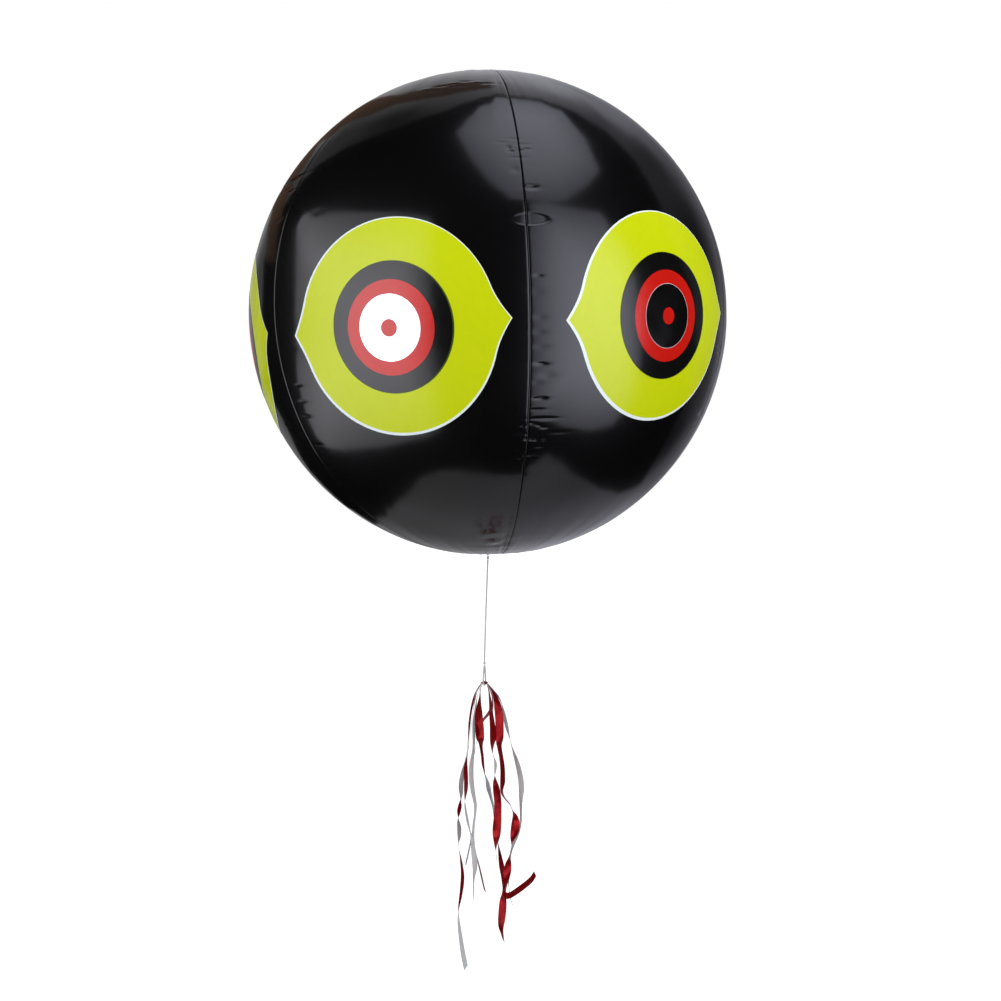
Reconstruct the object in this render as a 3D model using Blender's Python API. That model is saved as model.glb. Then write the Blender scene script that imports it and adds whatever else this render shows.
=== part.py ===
# A bird scare balloon: an inflated ball of six welded PVC gores with six printed eyes,
# a tab to hang it by, an air valve, and a string with a tassel of foil strips below.
# Metres, +Z up. The origin is the middle of the hole in the hanging tab.

import bpy
import bmesh
from math import acos, asin, cos, pi, radians, sin, sqrt, tan
from mathutils import Matrix, Vector

for old in list(bpy.data.objects):
    bpy.data.objects.remove(old, do_unlink=True)

# Sizes that several pieces share
ball_radius = 0.200
sheet = 0.0003
gap = 0.0003
weld_distance = 0.000001
crown_flat = 0.0025
crown_edge = radians(72)
gore_lean = radians(-1.6)

# Gores
gore_count = 6
first_seam = radians(8.45)
gore_tip_radius = 0.009
weld_flange = 0.0030
seam_groove = 0.0012
seam_shoulder = 0.0045
shoulder_limit_share = 0.35
gore_rows = 18
gore_spans = 6

# Printed eyes
eye_azimuth = radians(-19.4)
eye_latitude = radians(-5.3)
eye_roll = radians(1.45)
# Where a gore's print lies off the common place: azimuth, latitude and roll
eye_shifts = {1: (radians(-0.2), radians(1.9), radians(2.6)), 5: (radians(-0.5), radians(0.3), 0.0)}
print_gap = 0.0004
print_thickness = 0.0002
dot_radius = 0.0060
mirror_width = 0.0168
red_ring_width = 0.0097
black_ring_width = 0.0124
lime_width = 0.0301
lime_point_length = 0.0092
flare_angle = radians(19)
flare_power = 2.2
ring_segments = 30
dot_segments = 12
lime_segments = 36
lime_crowding_share = 0.35

# Patches at the two poles
patch_brim = 0.0140
patch_thickness = 0.0004
land_margin = 0.0010
land_height = 0.0008
patch_segments = 32

# Hanging tab
tab_hole_diameter = 0.0064
tab_wall = 0.00205
tab_top_width = 0.0170
tab_flare = 0.0045
tab_thickness = 0.0012
tab_corner = 0.0035
tab_edge_share = 0.48

# Air valve, placed in the middle of one gore at the back
valve_gore = 3
valve_latitude = radians(50)
stem_radius = 0.0051
stem_wall = 0.0018
stem_depth = 0.0170
stem_stop_overhang = 0.0015
stem_stop_height = 0.0012
lip_overhang = 0.0019
lip_height = 0.0012
hole_clearance = 0.0009
collar_wall = 0.0021
collar_height = 0.0016
valve_flange_width = 0.0035
valve_flange_thickness = 0.0006
peg_clearance = 0.0004
peg_taper = 0.0003
peg_length = 0.0070
plug_overhang = 0.0037
plug_height = 0.0016
plug_rim = 0.0026
plug_dish_depth = 0.0005
flap_overlap = 0.0013
flap_thickness = 0.0005
strap_width = 0.0030
strap_thickness = 0.0008
strap_reach = 0.0036
valve_segments = 24

# String and its eye under the ball
cord_diameter = 0.0014
eye_bar_diameter = 0.0011
eye_loop_radius = 0.0023
knot_radius = 0.00108
knot_length = 0.0026
knot_shares = ((0, 0), (0.55, 0), (1, 0.22), (0.88, 0.5), (1, 0.78), (0.55, 1), (0, 1))
loop_length = 0.0190
loop_half_width = 0.0027
loop_turn = radians(25)
tassel_drop = 0.1182
tassel_side = -0.0028
cord_point_step = 2.5 * cord_diameter

# The string's route from knot to knot: side as a share of tassel_side, then drop
cord_route_shares = ((0.0, 0.0), (0.30, 0.25), (0.56, 0.50), (0.80, 0.75), (1.0, 1.0))

# Tassel of folded foil strips
foil_thickness = 0.0002
foil_width = 0.0080
foil_pinch_share = 0.55
foil_spread_length = 0.024
fold_slack = 0.0010
fold_step = 0.0006
tassel_spread = 0.045
tassel_length = 0.265
foil_steps = 2

# The strips' folds: side, depth and drop from the fold at the top, then the turn of the face
# in half turns. On a right tail going down, and on a left tail going up, the red face is to
# the front at 0 and the silver face at 1.
left_inner_shares = (
    (-0.081, 0.000, 0.025, 0.46), (-0.086, 0.000, 0.051, 0.40), (-0.102, 0.000, 0.082, 0.28),
    (-0.110, 0.000, 0.116, 0.14), (-0.093, 0.000, 0.154, 0.07), (-0.085, 0.000, 0.185, 0.10),
    (-0.073, 0.000, 0.209, 0.34), (-0.041, 0.000, 0.248, 0.38), (-0.020, 0.000, 0.286, 0.40),
    (0.016, 0.022, 0.318, 0.47), (0.076, 0.067, 0.360, 0.63), (0.136, 0.089, 0.400, 0.57),
    (0.187, 0.100, 0.439, 0.55), (0.231, 0.111, 0.500, 0.56), (0.280, 0.116, 0.560, 0.47),
    (0.321, 0.056, 0.602, 0.36), (0.362, 0.044, 0.647, 0.28), (0.404, 0.033, 0.696, 0.32),
    (0.405, 0.022, 0.734, 0.38), (0.385, 0.000, 0.768, 0.20), (0.366, 0.000, 0.810, 0.18),
    (0.343, 0.000, 0.853, 0.30), (0.372, 0.000, 0.882, 0.38), (0.400, 0.000, 0.904, 0.42),
)
right_inner_shares = (
    (0.087, 0.000, 0.025, 0.44), (0.106, -0.044, 0.045, 0.40), (0.126, -0.067, 0.075, 0.37),
    (0.139, -0.100, 0.104, 0.36), (0.165, -0.144, 0.143, 0.30), (0.178, -0.156, 0.176, 0.24),
    (0.167, -0.156, 0.207, 0.38), (0.179, -0.144, 0.235, 0.52), (0.227, -0.111, 0.268, 0.60),
    (0.208, -0.111, 0.307, 0.52), (0.208, -0.111, 0.331, 0.38), (0.244, -0.100, 0.363, 0.24),
    (0.273, -0.078, 0.406, 0.20), (0.270, -0.078, 0.455, 0.16), (0.255, -0.078, 0.504, 0.08),
    (0.248, -0.111, 0.540, 0.30), (0.244, -0.111, 0.568, 0.47), (0.247, -0.089, 0.601, 0.53),
)
left_third_shares = (
    (-0.107, 0.000, 0.025, 0.51), (-0.146, 0.011, 0.051, 0.54), (-0.179, 0.100, 0.094, 0.56),
    (-0.207, 0.122, 0.140, 0.61), (-0.210, 0.078, 0.183, 0.59), (-0.212, 0.011, 0.224, 0.58),
    (-0.255, 0.000, 0.282, 0.66), (-0.251, 0.000, 0.342, 0.65), (-0.203, 0.000, 0.394, 0.60),
    (-0.166, 0.000, 0.432, 0.57), (-0.206, 0.027, 0.490, 0.59), (-0.211, 0.049, 0.541, 0.55),
    (-0.162, 0.049, 0.591, 0.46), (-0.089, 0.044, 0.647, 0.41), (0.017, 0.044, 0.729, 0.41),
)
right_crossing_shares = (
    (0.117, 0.000, 0.025, 0.48), (0.155, 0.084, 0.051, 0.46), (0.155, 0.151, 0.079, 0.42),
    (0.123, 0.156, 0.102, 0.34), (0.043, 0.156, 0.121, 0.34), (-0.036, 0.156, 0.138, 0.36),
    (-0.096, 0.178, 0.171, 0.44), (-0.160, 0.200, 0.221, 0.48), (-0.216, 0.200, 0.277, 0.50),
    (-0.240, 0.200, 0.365, 0.50), (-0.200, 0.233, 0.441, 0.50), (-0.236, 0.256, 0.528, 0.52),
    (-0.286, 0.178, 0.576, 0.53), (-0.334, 0.156, 0.613, 0.53), (-0.370, 0.156, 0.642, 0.52),
)
left_second_shares = (
    (-0.134, 0.000, 0.025, 0.50), (-0.181, -0.011, 0.054, 0.48), (-0.223, -0.067, 0.096, 0.50),
    (-0.266, -0.078, 0.150, 0.50), (-0.301, -0.100, 0.204, 0.50), (-0.340, -0.100, 0.252, 0.47),
    (-0.364, -0.100, 0.294, 0.34), (-0.359, -0.100, 0.346, 0.34), (-0.379, -0.100, 0.387, 0.44),
    (-0.383, -0.100, 0.412, 0.52), (-0.331, -0.100, 0.467, 0.55), (-0.272, -0.144, 0.506, 0.50),
    (-0.238, -0.151, 0.541, 0.58), (-0.193, -0.151, 0.590, 0.68), (-0.178, -0.133, 0.633, 0.67),
    (-0.203, -0.133, 0.682, 0.55), (-0.205, -0.133, 0.735, 0.53), (-0.251, -0.133, 0.778, 0.53),
)
right_third_shares = (
    (0.149, 0.000, 0.025, 0.44), (0.206, -0.011, 0.043, 0.32), (0.255, -0.018, 0.070, 0.22),
    (0.291, 0.018, 0.110, 0.14), (0.304, 0.027, 0.152, 0.12), (0.305, 0.044, 0.191, 0.16),
    (0.305, 0.067, 0.223, 0.34), (0.338, 0.089, 0.260, 0.36), (0.367, 0.100, 0.306, 0.33),
    (0.368, 0.100, 0.351, 0.31), (0.357, 0.100, 0.383, 0.42), (0.409, 0.067, 0.402, 0.52),
    (0.518, 0.022, 0.421, 0.54), (0.578, -0.011, 0.445, 0.50), (0.622, -0.033, 0.468, 0.24),
    (0.623, -0.044, 0.499, 0.05), (0.588, -0.044, 0.531, 0.24), (0.556, -0.067, 0.557, 0.46),
    (0.516, -0.111, 0.589, 0.44), (0.489, -0.156, 0.613, 0.26), (0.469, -0.178, 0.640, 0.16),
    (0.454, -0.189, 0.671, 0.28), (0.419, -0.189, 0.702, 0.36), (0.427, -0.189, 0.723, 0.40),
    (0.515, -0.189, 0.725, 0.42), (0.642, -0.189, 0.711, 0.41), (0.801, -0.189, 0.691, 0.41),
    (0.940, -0.189, 0.670, 0.41), (1.023, -0.189, 0.648, 0.42),
)
left_outer_shares = (
    (-0.154, 0.000, 0.025, 0.48), (-0.206, 0.011, 0.051, 0.43), (-0.261, 0.033, 0.094, 0.44),
    (-0.300, 0.067, 0.147, 0.43), (-0.326, 0.089, 0.208, 0.48), (-0.370, 0.089, 0.263, 0.53),
    (-0.436, 0.089, 0.312, 0.62), (-0.466, 0.089, 0.358, 0.66), (-0.455, 0.089, 0.396, 0.58),
    (-0.475, 0.089, 0.424, 0.40), (-0.514, 0.089, 0.453, 0.38), (-0.530, 0.089, 0.477, 0.52),
    (-0.500, 0.089, 0.516, 0.64), (-0.502, 0.089, 0.551, 0.58), (-0.514, 0.089, 0.573, 0.48),
    (-0.464, 0.067, 0.621, 0.40), (-0.431, 0.044, 0.676, 0.36), (-0.463, 0.022, 0.734, 0.40),
    (-0.512, 0.000, 0.786, 0.47), (-0.516, 0.000, 0.822, 0.54), (-0.476, 0.000, 0.882, 0.60),
    (-0.421, 0.000, 0.947, 0.63), (-0.360, 0.000, 1.001, 0.63),
)
right_outer_shares = (
    (0.202, 0.000, 0.029, 0.50), (0.306, 0.078, 0.058, 0.50), (0.371, 0.133, 0.092, 0.56),
    (0.407, 0.133, 0.126, 0.64), (0.452, 0.133, 0.161, 0.63), (0.497, 0.122, 0.192, 0.55),
    (0.533, 0.111, 0.215, 0.52), (0.590, 0.111, 0.243, 0.60), (0.659, 0.111, 0.282, 0.68),
    (0.721, 0.111, 0.327, 0.71), (0.746, 0.111, 0.369, 0.70), (0.735, 0.111, 0.408, 0.62),
    (0.737, 0.111, 0.454, 0.57), (0.734, 0.111, 0.485, 0.56), (0.691, 0.111, 0.524, 0.55),
    (0.603, 0.111, 0.563, 0.53), (0.543, 0.100, 0.594, 0.53), (0.512, 0.111, 0.645, 0.54),
    (0.498, 0.111, 0.702, 0.53), (0.527, 0.111, 0.752, 0.53), (0.577, 0.111, 0.781, 0.54),
)

# Sizes and heights worked out from the sizes above
tab_height = tab_hole_diameter + 2 * tab_wall
tab_foot_width = tab_top_width + 2 * tab_flare
land_radius = tab_foot_width / 2 + land_margin
patch_radius = land_radius + patch_brim
pole_height = ball_radius - crown_flat
land_top = pole_height + gap + land_height
tab_foot_height = land_top + gap
hole_height = tab_foot_height + tab_height / 2
ball_centre = Vector((0, 0, -hole_height))
tab_hinge = Vector((0, 0, tab_foot_height + tab_thickness / 2)) + ball_centre
eye_bar_height = -(land_top + gap + eye_loop_radius)
bar_centre = Vector((0, 0, eye_bar_height)) + ball_centre
ring_radius = eye_bar_diameter / 2 + gap + cord_diameter / 2
loop_bottom = bar_centre + Vector((tassel_side, 0, -tassel_drop))
loop_inside = loop_half_width - cord_diameter / 2
foil_pinch = 2 * loop_inside * foil_pinch_share
pinch_rise = loop_inside - sqrt(loop_inside ** 2 - (foil_pinch / 2) ** 2)
fold_height = cord_diameter / 2 + pinch_rise + gap + foil_thickness
fold_reach = (cord_diameter + foil_pinch * tan(loop_turn)) / 2 + fold_slack


def material(name, colour, roughness, metallic=0.0):
    shade = bpy.data.materials.new(name)
    shade.use_nodes = True
    principled = shade.node_tree.nodes["Principled BSDF"]
    principled.inputs["Base Color"].default_value = (*colour, 1.0)
    principled.inputs["Roughness"].default_value = roughness
    principled.inputs["Metallic"].default_value = metallic
    shade.diffuse_color = (*colour, 1.0)
    return shade


black_pvc = material("black_gloss_pvc", (0.012, 0.012, 0.013), 0.12)
smoke_pvc = material("smoke_pvc", (0.05, 0.05, 0.055), 0.25)
lime_ink = material("lime_ink", (0.56, 0.70, 0.02), 0.25)
black_ink = material("black_ink", (0.008, 0.008, 0.008), 0.12)
red_ink = material("red_ink", (0.70, 0.01, 0.006), 0.2)
mirror_film = material("mirror_film", (0.85, 0.86, 0.88), 0.06, 1.0)
valve_pvc = material("black_soft_pvc", (0.016, 0.016, 0.017), 0.35)
white_string = material("white_string", (0.75, 0.75, 0.73), 0.7)
red_foil = material("red_foil", (0.55, 0.02, 0.015), 0.2, 0.9)


def finish(name, bm, shade, parent=None, place=None):
    """Turn a bmesh into a named object with outward faces and smooth shading."""
    mesh = make_mesh(name, bm)
    return add_object(name, mesh, shade, parent, place)


def make_mesh(name, bm):
    bmesh.ops.remove_doubles(bm, verts=bm.verts, dist=weld_distance)
    bmesh.ops.recalc_face_normals(bm, faces=bm.faces)
    mesh = bpy.data.meshes.new(name)
    bm.to_mesh(mesh)
    bm.free()
    mesh.shade_smooth()
    mesh.set_sharp_from_angle(angle=radians(40))
    return mesh


def add_object(name, data, shade, parent=None, place=None):
    obj = bpy.data.objects.new(name, data)
    if shade.name not in data.materials:
        data.materials.append(shade)
    bpy.context.scene.collection.objects.link(obj)
    obj.parent = parent
    obj.matrix_local = place if place is not None else Matrix.Identity(4)
    return obj


def pivot(name, place, parent=None):
    """An empty that stands on a joint or holds a group of pieces."""
    empty = bpy.data.objects.new(name, None)
    bpy.context.scene.collection.objects.link(empty)
    empty.parent = parent
    empty.matrix_local = place
    return empty


def two_skins(outer, inner, wrap):
    """A closed solid from two grids of points of the same shape."""
    bm = bmesh.new()
    grids = [[[bm.verts.new(p) for p in row] for row in grid] for grid in (outer, inner)]
    rows, columns = len(outer), len(outer[0])
    across = columns if wrap else columns - 1
    for grid in grids:
        for i in range(rows - 1):
            for j in range(across):
                k = (j + 1) % columns
                bm.faces.new((grid[i][j], grid[i][k], grid[i + 1][k], grid[i + 1][j]))
    top, under = grids
    for i in (0, rows - 1):
        for j in range(across):
            k = (j + 1) % columns
            bm.faces.new((top[i][j], top[i][k], under[i][k], under[i][j]))
    if not wrap:
        for j in (0, columns - 1):
            for i in range(rows - 1):
                bm.faces.new((top[i][j], top[i + 1][j], under[i + 1][j], under[i][j]))
    return bm


def turned(profile, segments):
    """A solid of revolution about Z from a closed profile of (radius, height) points."""
    bm = bmesh.new()
    rings = []
    for radius, height in profile:
        if radius == 0:
            rings.append([bm.verts.new((0, 0, height))])
            continue
        rings.append([bm.verts.new((radius * cos(a), radius * sin(a), height))
                      for a in turn_steps(segments)])
    for ring, following in zip(rings, rings[1:] + rings[:1]):
        if len(ring) == len(following) == 1:
            continue
        for j in range(segments):
            k = (j + 1) % segments
            corners = [ring[j % len(ring)], ring[k % len(ring)],
                       following[k % len(following)], following[j % len(following)]]
            bm.faces.new(list(dict.fromkeys(corners)))
    return bm


def turn_steps(count):
    return [2 * pi * i / count for i in range(count)]


def smooth_step(t):
    t = min(max(t, 0), 1)
    return t * t * (3 - 2 * t)


def radius_at(latitude):
    """The ball's radius, a little less near the poles, where the crown is flatter."""
    crown = (abs(latitude) - crown_edge) / (pi / 2 - crown_edge)
    return ball_radius - crown_flat * smooth_step(crown)


def direction(azimuth, latitude):
    return Vector((cos(latitude) * sin(azimuth), -cos(latitude) * cos(azimuth), sin(latitude)))


def faced(azimuth, latitude, roll=0.0):
    """Turn a piece made to face -Y towards a place on the ball."""
    turn = Matrix.Rotation(azimuth, 4, "Z") @ Matrix.Rotation(-latitude, 4, "X")
    return turn @ Matrix.Rotation(-roll, 4, "Y")


# Bodies: each empty stands on the joint that moves what hangs on it.
ball_pivot = pivot("ball_pivot", Matrix.Translation(tab_hinge))
ball_frame = pivot("ball_frame", Matrix.Translation(ball_centre - tab_hinge), ball_pivot)
gore_frame = pivot("gore_frame", Matrix.Rotation(gore_lean, 4, "Y"), ball_frame)


# Hanging tab: a sheet tab with rounded edges that bends over on its round foot
def convex_reach(outline, angle):
    """How far a ray from the origin runs before it leaves a convex outline."""
    ray = Vector((cos(angle), sin(angle)))
    reach = []
    for a, b in zip(outline, outline[1:] + outline[:1]):
        normal = Vector((b[1] - a[1], a[0] - b[0]))
        if normal.dot(ray) > 0:
            reach.append(normal.dot(Vector(a)) / normal.dot(ray))
    return min(reach)


def hanging_tab():
    up = tab_height / 2
    arc = tab_top_width / 2 - tab_corner
    outline = [(-tab_foot_width / 2, -up), (tab_foot_width / 2, -up)]
    for centre_x, start in ((arc, 0), (-arc, pi / 2)):
        for step in range(5):
            angle = start + pi / 2 * step / 4
            outline.append((centre_x + tab_corner * cos(angle), up - tab_corner + tab_corner * sin(angle)))
    skins = []
    for y in (-tab_thickness / 2, tab_thickness / 2):
        hole, edge = [], []
        for angle in turn_steps(32):
            reach = convex_reach(outline, angle)
            hole.append((tab_hole_diameter / 2 * cos(angle), y, tab_hole_diameter / 2 * sin(angle)))
            edge.append((reach * cos(angle), y, reach * sin(angle)))
        skins.append([hole, edge])
    tab = finish("hang_tab", two_skins(*skins, wrap=True), smoke_pvc)
    bevel = tab.modifiers.new("round_edges", "BEVEL")
    bevel.width = tab_thickness * tab_edge_share
    bevel.segments = 2
    bevel.limit_method = "ANGLE"
    bevel.angle_limit = radians(60)


hanging_tab()


# Gores: each is one welded panel, with a flange turned inward along both seams
def gore_mesh():
    last = acos(gore_tip_radius / pole_height)
    outer, inner = [], []
    for i in range(gore_rows + 1):
        latitude = -last + 2 * last * i / gore_rows
        radius = radius_at(latitude)
        across = radius * cos(latitude)
        half = pi / gore_count - gap / 2 / across
        shoulder = min(seam_shoulder, shoulder_limit_share * across * half) / across
        middle = [(-1 + 2 * j / gore_spans) * (half - shoulder) for j in range(gore_spans + 1)]
        thin = sheet / across
        outer.append(gore_row(latitude, radius, half, middle, 0))
        inner.append(gore_row(latitude, radius, half - thin, middle, sheet))
    return make_mesh("gore", two_skins(outer, inner, wrap=False))


def gore_row(latitude, radius, edge, middle, inset):
    """One row of a gore's skin, from one flange's inner edge to the other's."""
    floor = radius - seam_groove
    places = [(-edge, floor - weld_flange), (-edge, floor - inset)]
    places += [(azimuth, radius - inset) for azimuth in middle]
    places += [(edge, floor - inset), (edge, floor - weld_flange)]
    return [direction(azimuth, latitude) * r for azimuth, r in places]


def gore_azimuth(number):
    return first_seam - pi / gore_count + 2 * pi * number / gore_count


panel = gore_mesh()
gores = [add_object(f"gore_{i + 1}", panel, black_pvc, gore_frame,
                    Matrix.Rotation(gore_azimuth(i), 4, "Z")) for i in range(gore_count)]


# Printed eyes: thin rings and an outline with two pointed ends, bent over the ball
mirror_radius = dot_radius + mirror_width
red_ring_radius = mirror_radius + red_ring_width
black_ring_radius = red_ring_radius + black_ring_width
lime_radius = black_ring_radius + lime_width


def on_ball(radius, angle, lift):
    """A point at an arc radius and angle round the eye's middle, lifted off the ball."""
    arc = radius / ball_radius
    away = Vector((sin(arc) * cos(angle), -cos(arc), sin(arc) * sin(angle)))
    return away * (ball_radius + print_gap + lift)


def print_layer(name, rings, angles):
    """One layer of print between rings of arc radii, each a list of one radius per angle."""
    skins = [[[on_ball(r, a, lift) for r, a in zip(ring, angles)] for ring in rings]
             for lift in (print_thickness, 0)]
    return make_mesh(name, two_skins(*skins, wrap=True))


def round_layer(name, inside, outside, segments):
    rings = [[radius] * segments for radius in (inside, outside)]
    return print_layer(name, rings, turn_steps(segments))


def lime_outline(angle):
    """The lime shape's arc radius: round, with a flare to a point at each side."""
    off_tip = min(abs(angle - tip) for tip in (0, pi, 2 * pi))
    flare = max(0, 1 - off_tip / flare_angle) ** flare_power
    return lime_radius + lime_point_length * flare


def lime_layer():
    angles = [a - lime_crowding_share * sin(2 * a) / 2 for a in turn_steps(lime_segments)]
    edge = [lime_outline(a) for a in angles]
    inside = [black_ring_radius + gap] * lime_segments
    between = [(a + b) / 2 for a, b in zip(inside, edge)]
    return print_layer("lime_print", [inside, between, edge], angles)


def eye_layers():
    red_inside, black_inside = mirror_radius + gap, red_ring_radius + gap
    return (("red_dot", red_ink, round_layer("red_dot", 0, dot_radius, dot_segments)),
            ("mirror_disc", mirror_film,
             round_layer("mirror_disc", dot_radius + gap, mirror_radius, ring_segments)),
            ("red_ring", red_ink, round_layer("red_ring", red_inside, red_ring_radius, ring_segments)),
            ("black_ring", black_ink,
             round_layer("black_ring", black_inside, black_ring_radius, ring_segments)),
            ("lime_print", lime_ink, lime_layer()))


eye_prints = eye_layers()
for number in range(gore_count):
    round_shift, up_shift, roll_shift = eye_shifts.get(number, (0, 0, 0))
    place = faced(eye_azimuth + round_shift + 2 * pi * number / gore_count,
                  eye_latitude + up_shift, eye_roll + roll_shift)
    for layer, ink, mesh in eye_prints:
        add_object(f"eye_{number + 1}_{layer}", mesh, ink, gore_frame, place)


# Patches over the gores' tips, each with a flat land in the middle
def patch(name, side):
    rows = (0, land_radius / 2, land_radius, land_radius, (land_radius + patch_radius) / 2, patch_radius)
    on_land = (True, True, True, False, False, False)
    back = Matrix.Rotation(-gore_lean, 3, "Y")
    top, under = [], []
    for reach, flat in zip(rows, on_land):
        top_row, under_row = [], []
        for angle in turn_steps(patch_segments):
            height = side * sqrt(ball_radius ** 2 - reach ** 2)
            away = Vector((reach * cos(angle), reach * sin(angle), height)).normalized()
            radius = radius_at(asin((back @ away).z)) + gap
            low = away * radius
            under_row.append(low)
            top_row.append(Vector((low.x, low.y, side * land_top)) if flat
                           else away * (radius + patch_thickness))
        top.append(top_row)
        under.append(under_row)
    finish(name, two_skins(top, under, wrap=True), smoke_pvc, ball_frame)


patch("top_patch", 1)
patch("bottom_patch", -1)

# Air valve: a flange with a collar, a stem that pushes in, a plug on a strap and a flap inside
valve_turn = faced(gore_azimuth(valve_gore), valve_latitude) @ Matrix.Rotation(pi / 2, 4, "X")
valve_place = valve_turn @ Matrix.Translation((0, 0, ball_radius))
stem_bore = stem_radius - stem_wall
stem_stop_radius = stem_radius + stem_stop_overhang
lip_radius = stem_radius + lip_overhang
collar_bore = stem_radius + gap
collar_radius = collar_bore + collar_wall
valve_flange_radius = collar_radius + valve_flange_width
peg_radius = stem_bore - peg_clearance
plug_radius = peg_radius + plug_overhang
flap_radius = stem_bore + flap_overlap
collar_top = gap + collar_height
lip_under = collar_top + gap
lip_top = lip_under + lip_height
plug_under = lip_top + gap
stem_end = -stem_depth


def over_ball(radius, lift):
    """Height of the ball's surface at a radius from the valve's axis."""
    return sqrt((ball_radius + lift) ** 2 - radius ** 2) - ball_radius


def valve_flange():
    top = gap + valve_flange_thickness
    profile = [(collar_bore, over_ball(collar_bore, gap)),
               (valve_flange_radius, over_ball(valve_flange_radius, gap)),
               (valve_flange_radius, over_ball(valve_flange_radius, top)),
               (collar_radius, over_ball(collar_radius, top)),
               (collar_radius - sheet, collar_top), (collar_bore, collar_top)]
    finish("valve_flange", turned(profile, valve_segments), valve_pvc, gore_frame, valve_place)


def valve_stem():
    profile = [(stem_bore, lip_top), (lip_radius - sheet, lip_top), (lip_radius, lip_top - sheet),
               (lip_radius, lip_under), (stem_radius, lip_under),
               (stem_radius, stem_end + stem_stop_height), (stem_stop_radius, stem_end + stem_stop_height),
               (stem_stop_radius, stem_end), (stem_bore, stem_end)]
    finish("valve_stem", turned(profile, valve_segments), valve_pvc, stem_pivot)


def valve_plug():
    top = plug_under + plug_height
    dish = plug_radius - plug_rim
    profile = [(0, top - plug_dish_depth), (dish - plug_dish_depth, top - plug_dish_depth),
               (dish, top), (plug_radius - sheet, top), (plug_radius, top - sheet),
               (plug_radius, plug_under), (peg_radius, plug_under),
               (peg_radius - peg_taper, plug_under - peg_length), (0, plug_under - peg_length)]
    finish("valve_plug", turned(profile, valve_segments), valve_pvc, plug_pivot)


def valve_strap():
    """A strap that loops out from the stem's lip and back to the plug."""
    low = (lip_top + lip_under) / 2
    high = plug_under + plug_height / 2
    start, end = lip_radius + gap, plug_radius + gap
    outer, inner = [], []
    for step in range(11):
        share = step / 10
        bulge = sin(pi * share)
        x = start + (end - start) * share + (strap_reach - strap_thickness / 2) * bulge
        z = low + (high - low) * (1 - cos(pi * share)) / 2
        half = strap_thickness / 2
        lean = Vector((bulge, 0, -cos(pi * share)))
        for skin, sign in ((outer, 1), (inner, -1)):
            middle = Vector((x, 0, z)) + lean * half * sign
            skin.append([middle + Vector((0, side * strap_width / 2, 0)) for side in (-1, 1)])
    finish("valve_strap", two_skins(outer, inner, wrap=False), valve_pvc, stem_pivot)


def valve_flap():
    profile = [(0, 0), (flap_radius, 0), (flap_radius, -flap_thickness), (0, -flap_thickness)]
    finish("valve_flap", turned(profile, valve_segments), valve_pvc, flap_pivot,
           Matrix.Translation((flap_radius, 0, 0)))


def cut_valve_hole(gore):
    """The gore's round hole for the stem."""
    bm = bmesh.new()
    bmesh.ops.create_cone(bm, cap_ends=True, segments=valve_segments,
                          radius1=stem_radius + hole_clearance, radius2=stem_radius + hole_clearance,
                          depth=2 * collar_height + 2 * valve_flange_radius)
    cutter = finish("valve_hole_cutter", bm, black_pvc, gore_frame, valve_place)
    cutter.hide_render = True
    cutter.display_type = "WIRE"
    cut = gore.modifiers.new("valve_hole", "BOOLEAN")
    cut.object = cutter
    cut.operation = "DIFFERENCE"


stem_pivot = pivot("stem_pivot", valve_place, gore_frame)
plug_pivot = pivot("plug_pivot", Matrix.Identity(4), stem_pivot)
flap_pivot = pivot("flap_pivot", Matrix.Translation((-flap_radius, 0, stem_end - gap)), stem_pivot)
valve_flange()
valve_stem()
valve_plug()
valve_strap()
valve_flap()
cut_valve_hole(gores[valve_gore])


# Cords: round tubes along smooth curves
def tube(name, points, diameter, shade, parent, closed=False):
    curve = bpy.data.curves.new(name, "CURVE")
    curve.dimensions = "3D"
    curve.bevel_depth = diameter / 2
    curve.bevel_resolution = 2
    curve.use_fill_caps = not closed
    spline = curve.splines.new("POLY")
    spline.points.add(len(points) - 1)
    for point, place in zip(spline.points, points):
        point.co = (*place, 1)
    spline.use_cyclic_u = closed
    return add_object(name, curve, shade, parent)


def curve_at(points, place):
    """Catmull-Rom through points of any size; place counts in points from the first."""
    last = len(points) - 1
    i = min(int(place), last - 1)
    t = place - i
    b, c = points[i], points[i + 1]
    a = points[i - 1] if i > 0 else [2 * p - q for p, q in zip(b, c)]
    d = points[i + 2] if i + 2 <= last else [2 * q - p for p, q in zip(b, c)]
    value = []
    for w, x, y, z in zip(a, b, c, d):
        bend = (2 * w - 5 * x + 4 * y - z) * t * t + (3 * x - w - 3 * y + z) * t * t * t
        value.append(x + ((y - w) * t + bend) / 2)
    return value


def smooth_route(points, step):
    """Points a step apart along a smooth curve through the route's own points."""
    fine = [Vector(curve_at(points, i / 20)) for i in range(20 * (len(points) - 1) + 1)]
    lengths = [(b - a).length for a, b in zip(fine, fine[1:])]
    count = max(2, round(sum(lengths) / step))
    route, run, target = [fine[0]], 0, sum(lengths) / count
    for start, end, length in zip(fine, fine[1:], lengths):
        while len(route) < count and run + length >= target * len(route):
            route.append(start.lerp(end, (target * len(route) - run) / length))
        run += length
    return route + [fine[-1]]


# String eye: a small bar bent over the bottom patch's land
def string_eye():
    top = -(land_top + gap)
    arc = [(-eye_loop_radius * cos(pi * i / 12), 0, top - eye_loop_radius * sin(pi * i / 12))
           for i in range(13)]
    tube("string_eye", arc, eye_bar_diameter, smoke_pvc, ball_frame)


string_eye()
string_pivot = pivot("string_pivot", Matrix.Translation(bar_centre - tab_hinge), ball_pivot)


def knot(name, top, parent):
    """A small tight knot that hangs from its top."""
    profile = [(out * knot_radius, -down * knot_length) for out, down in knot_shares]
    finish(name, turned(profile, 12), white_string, parent, Matrix.Translation(top))


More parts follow.
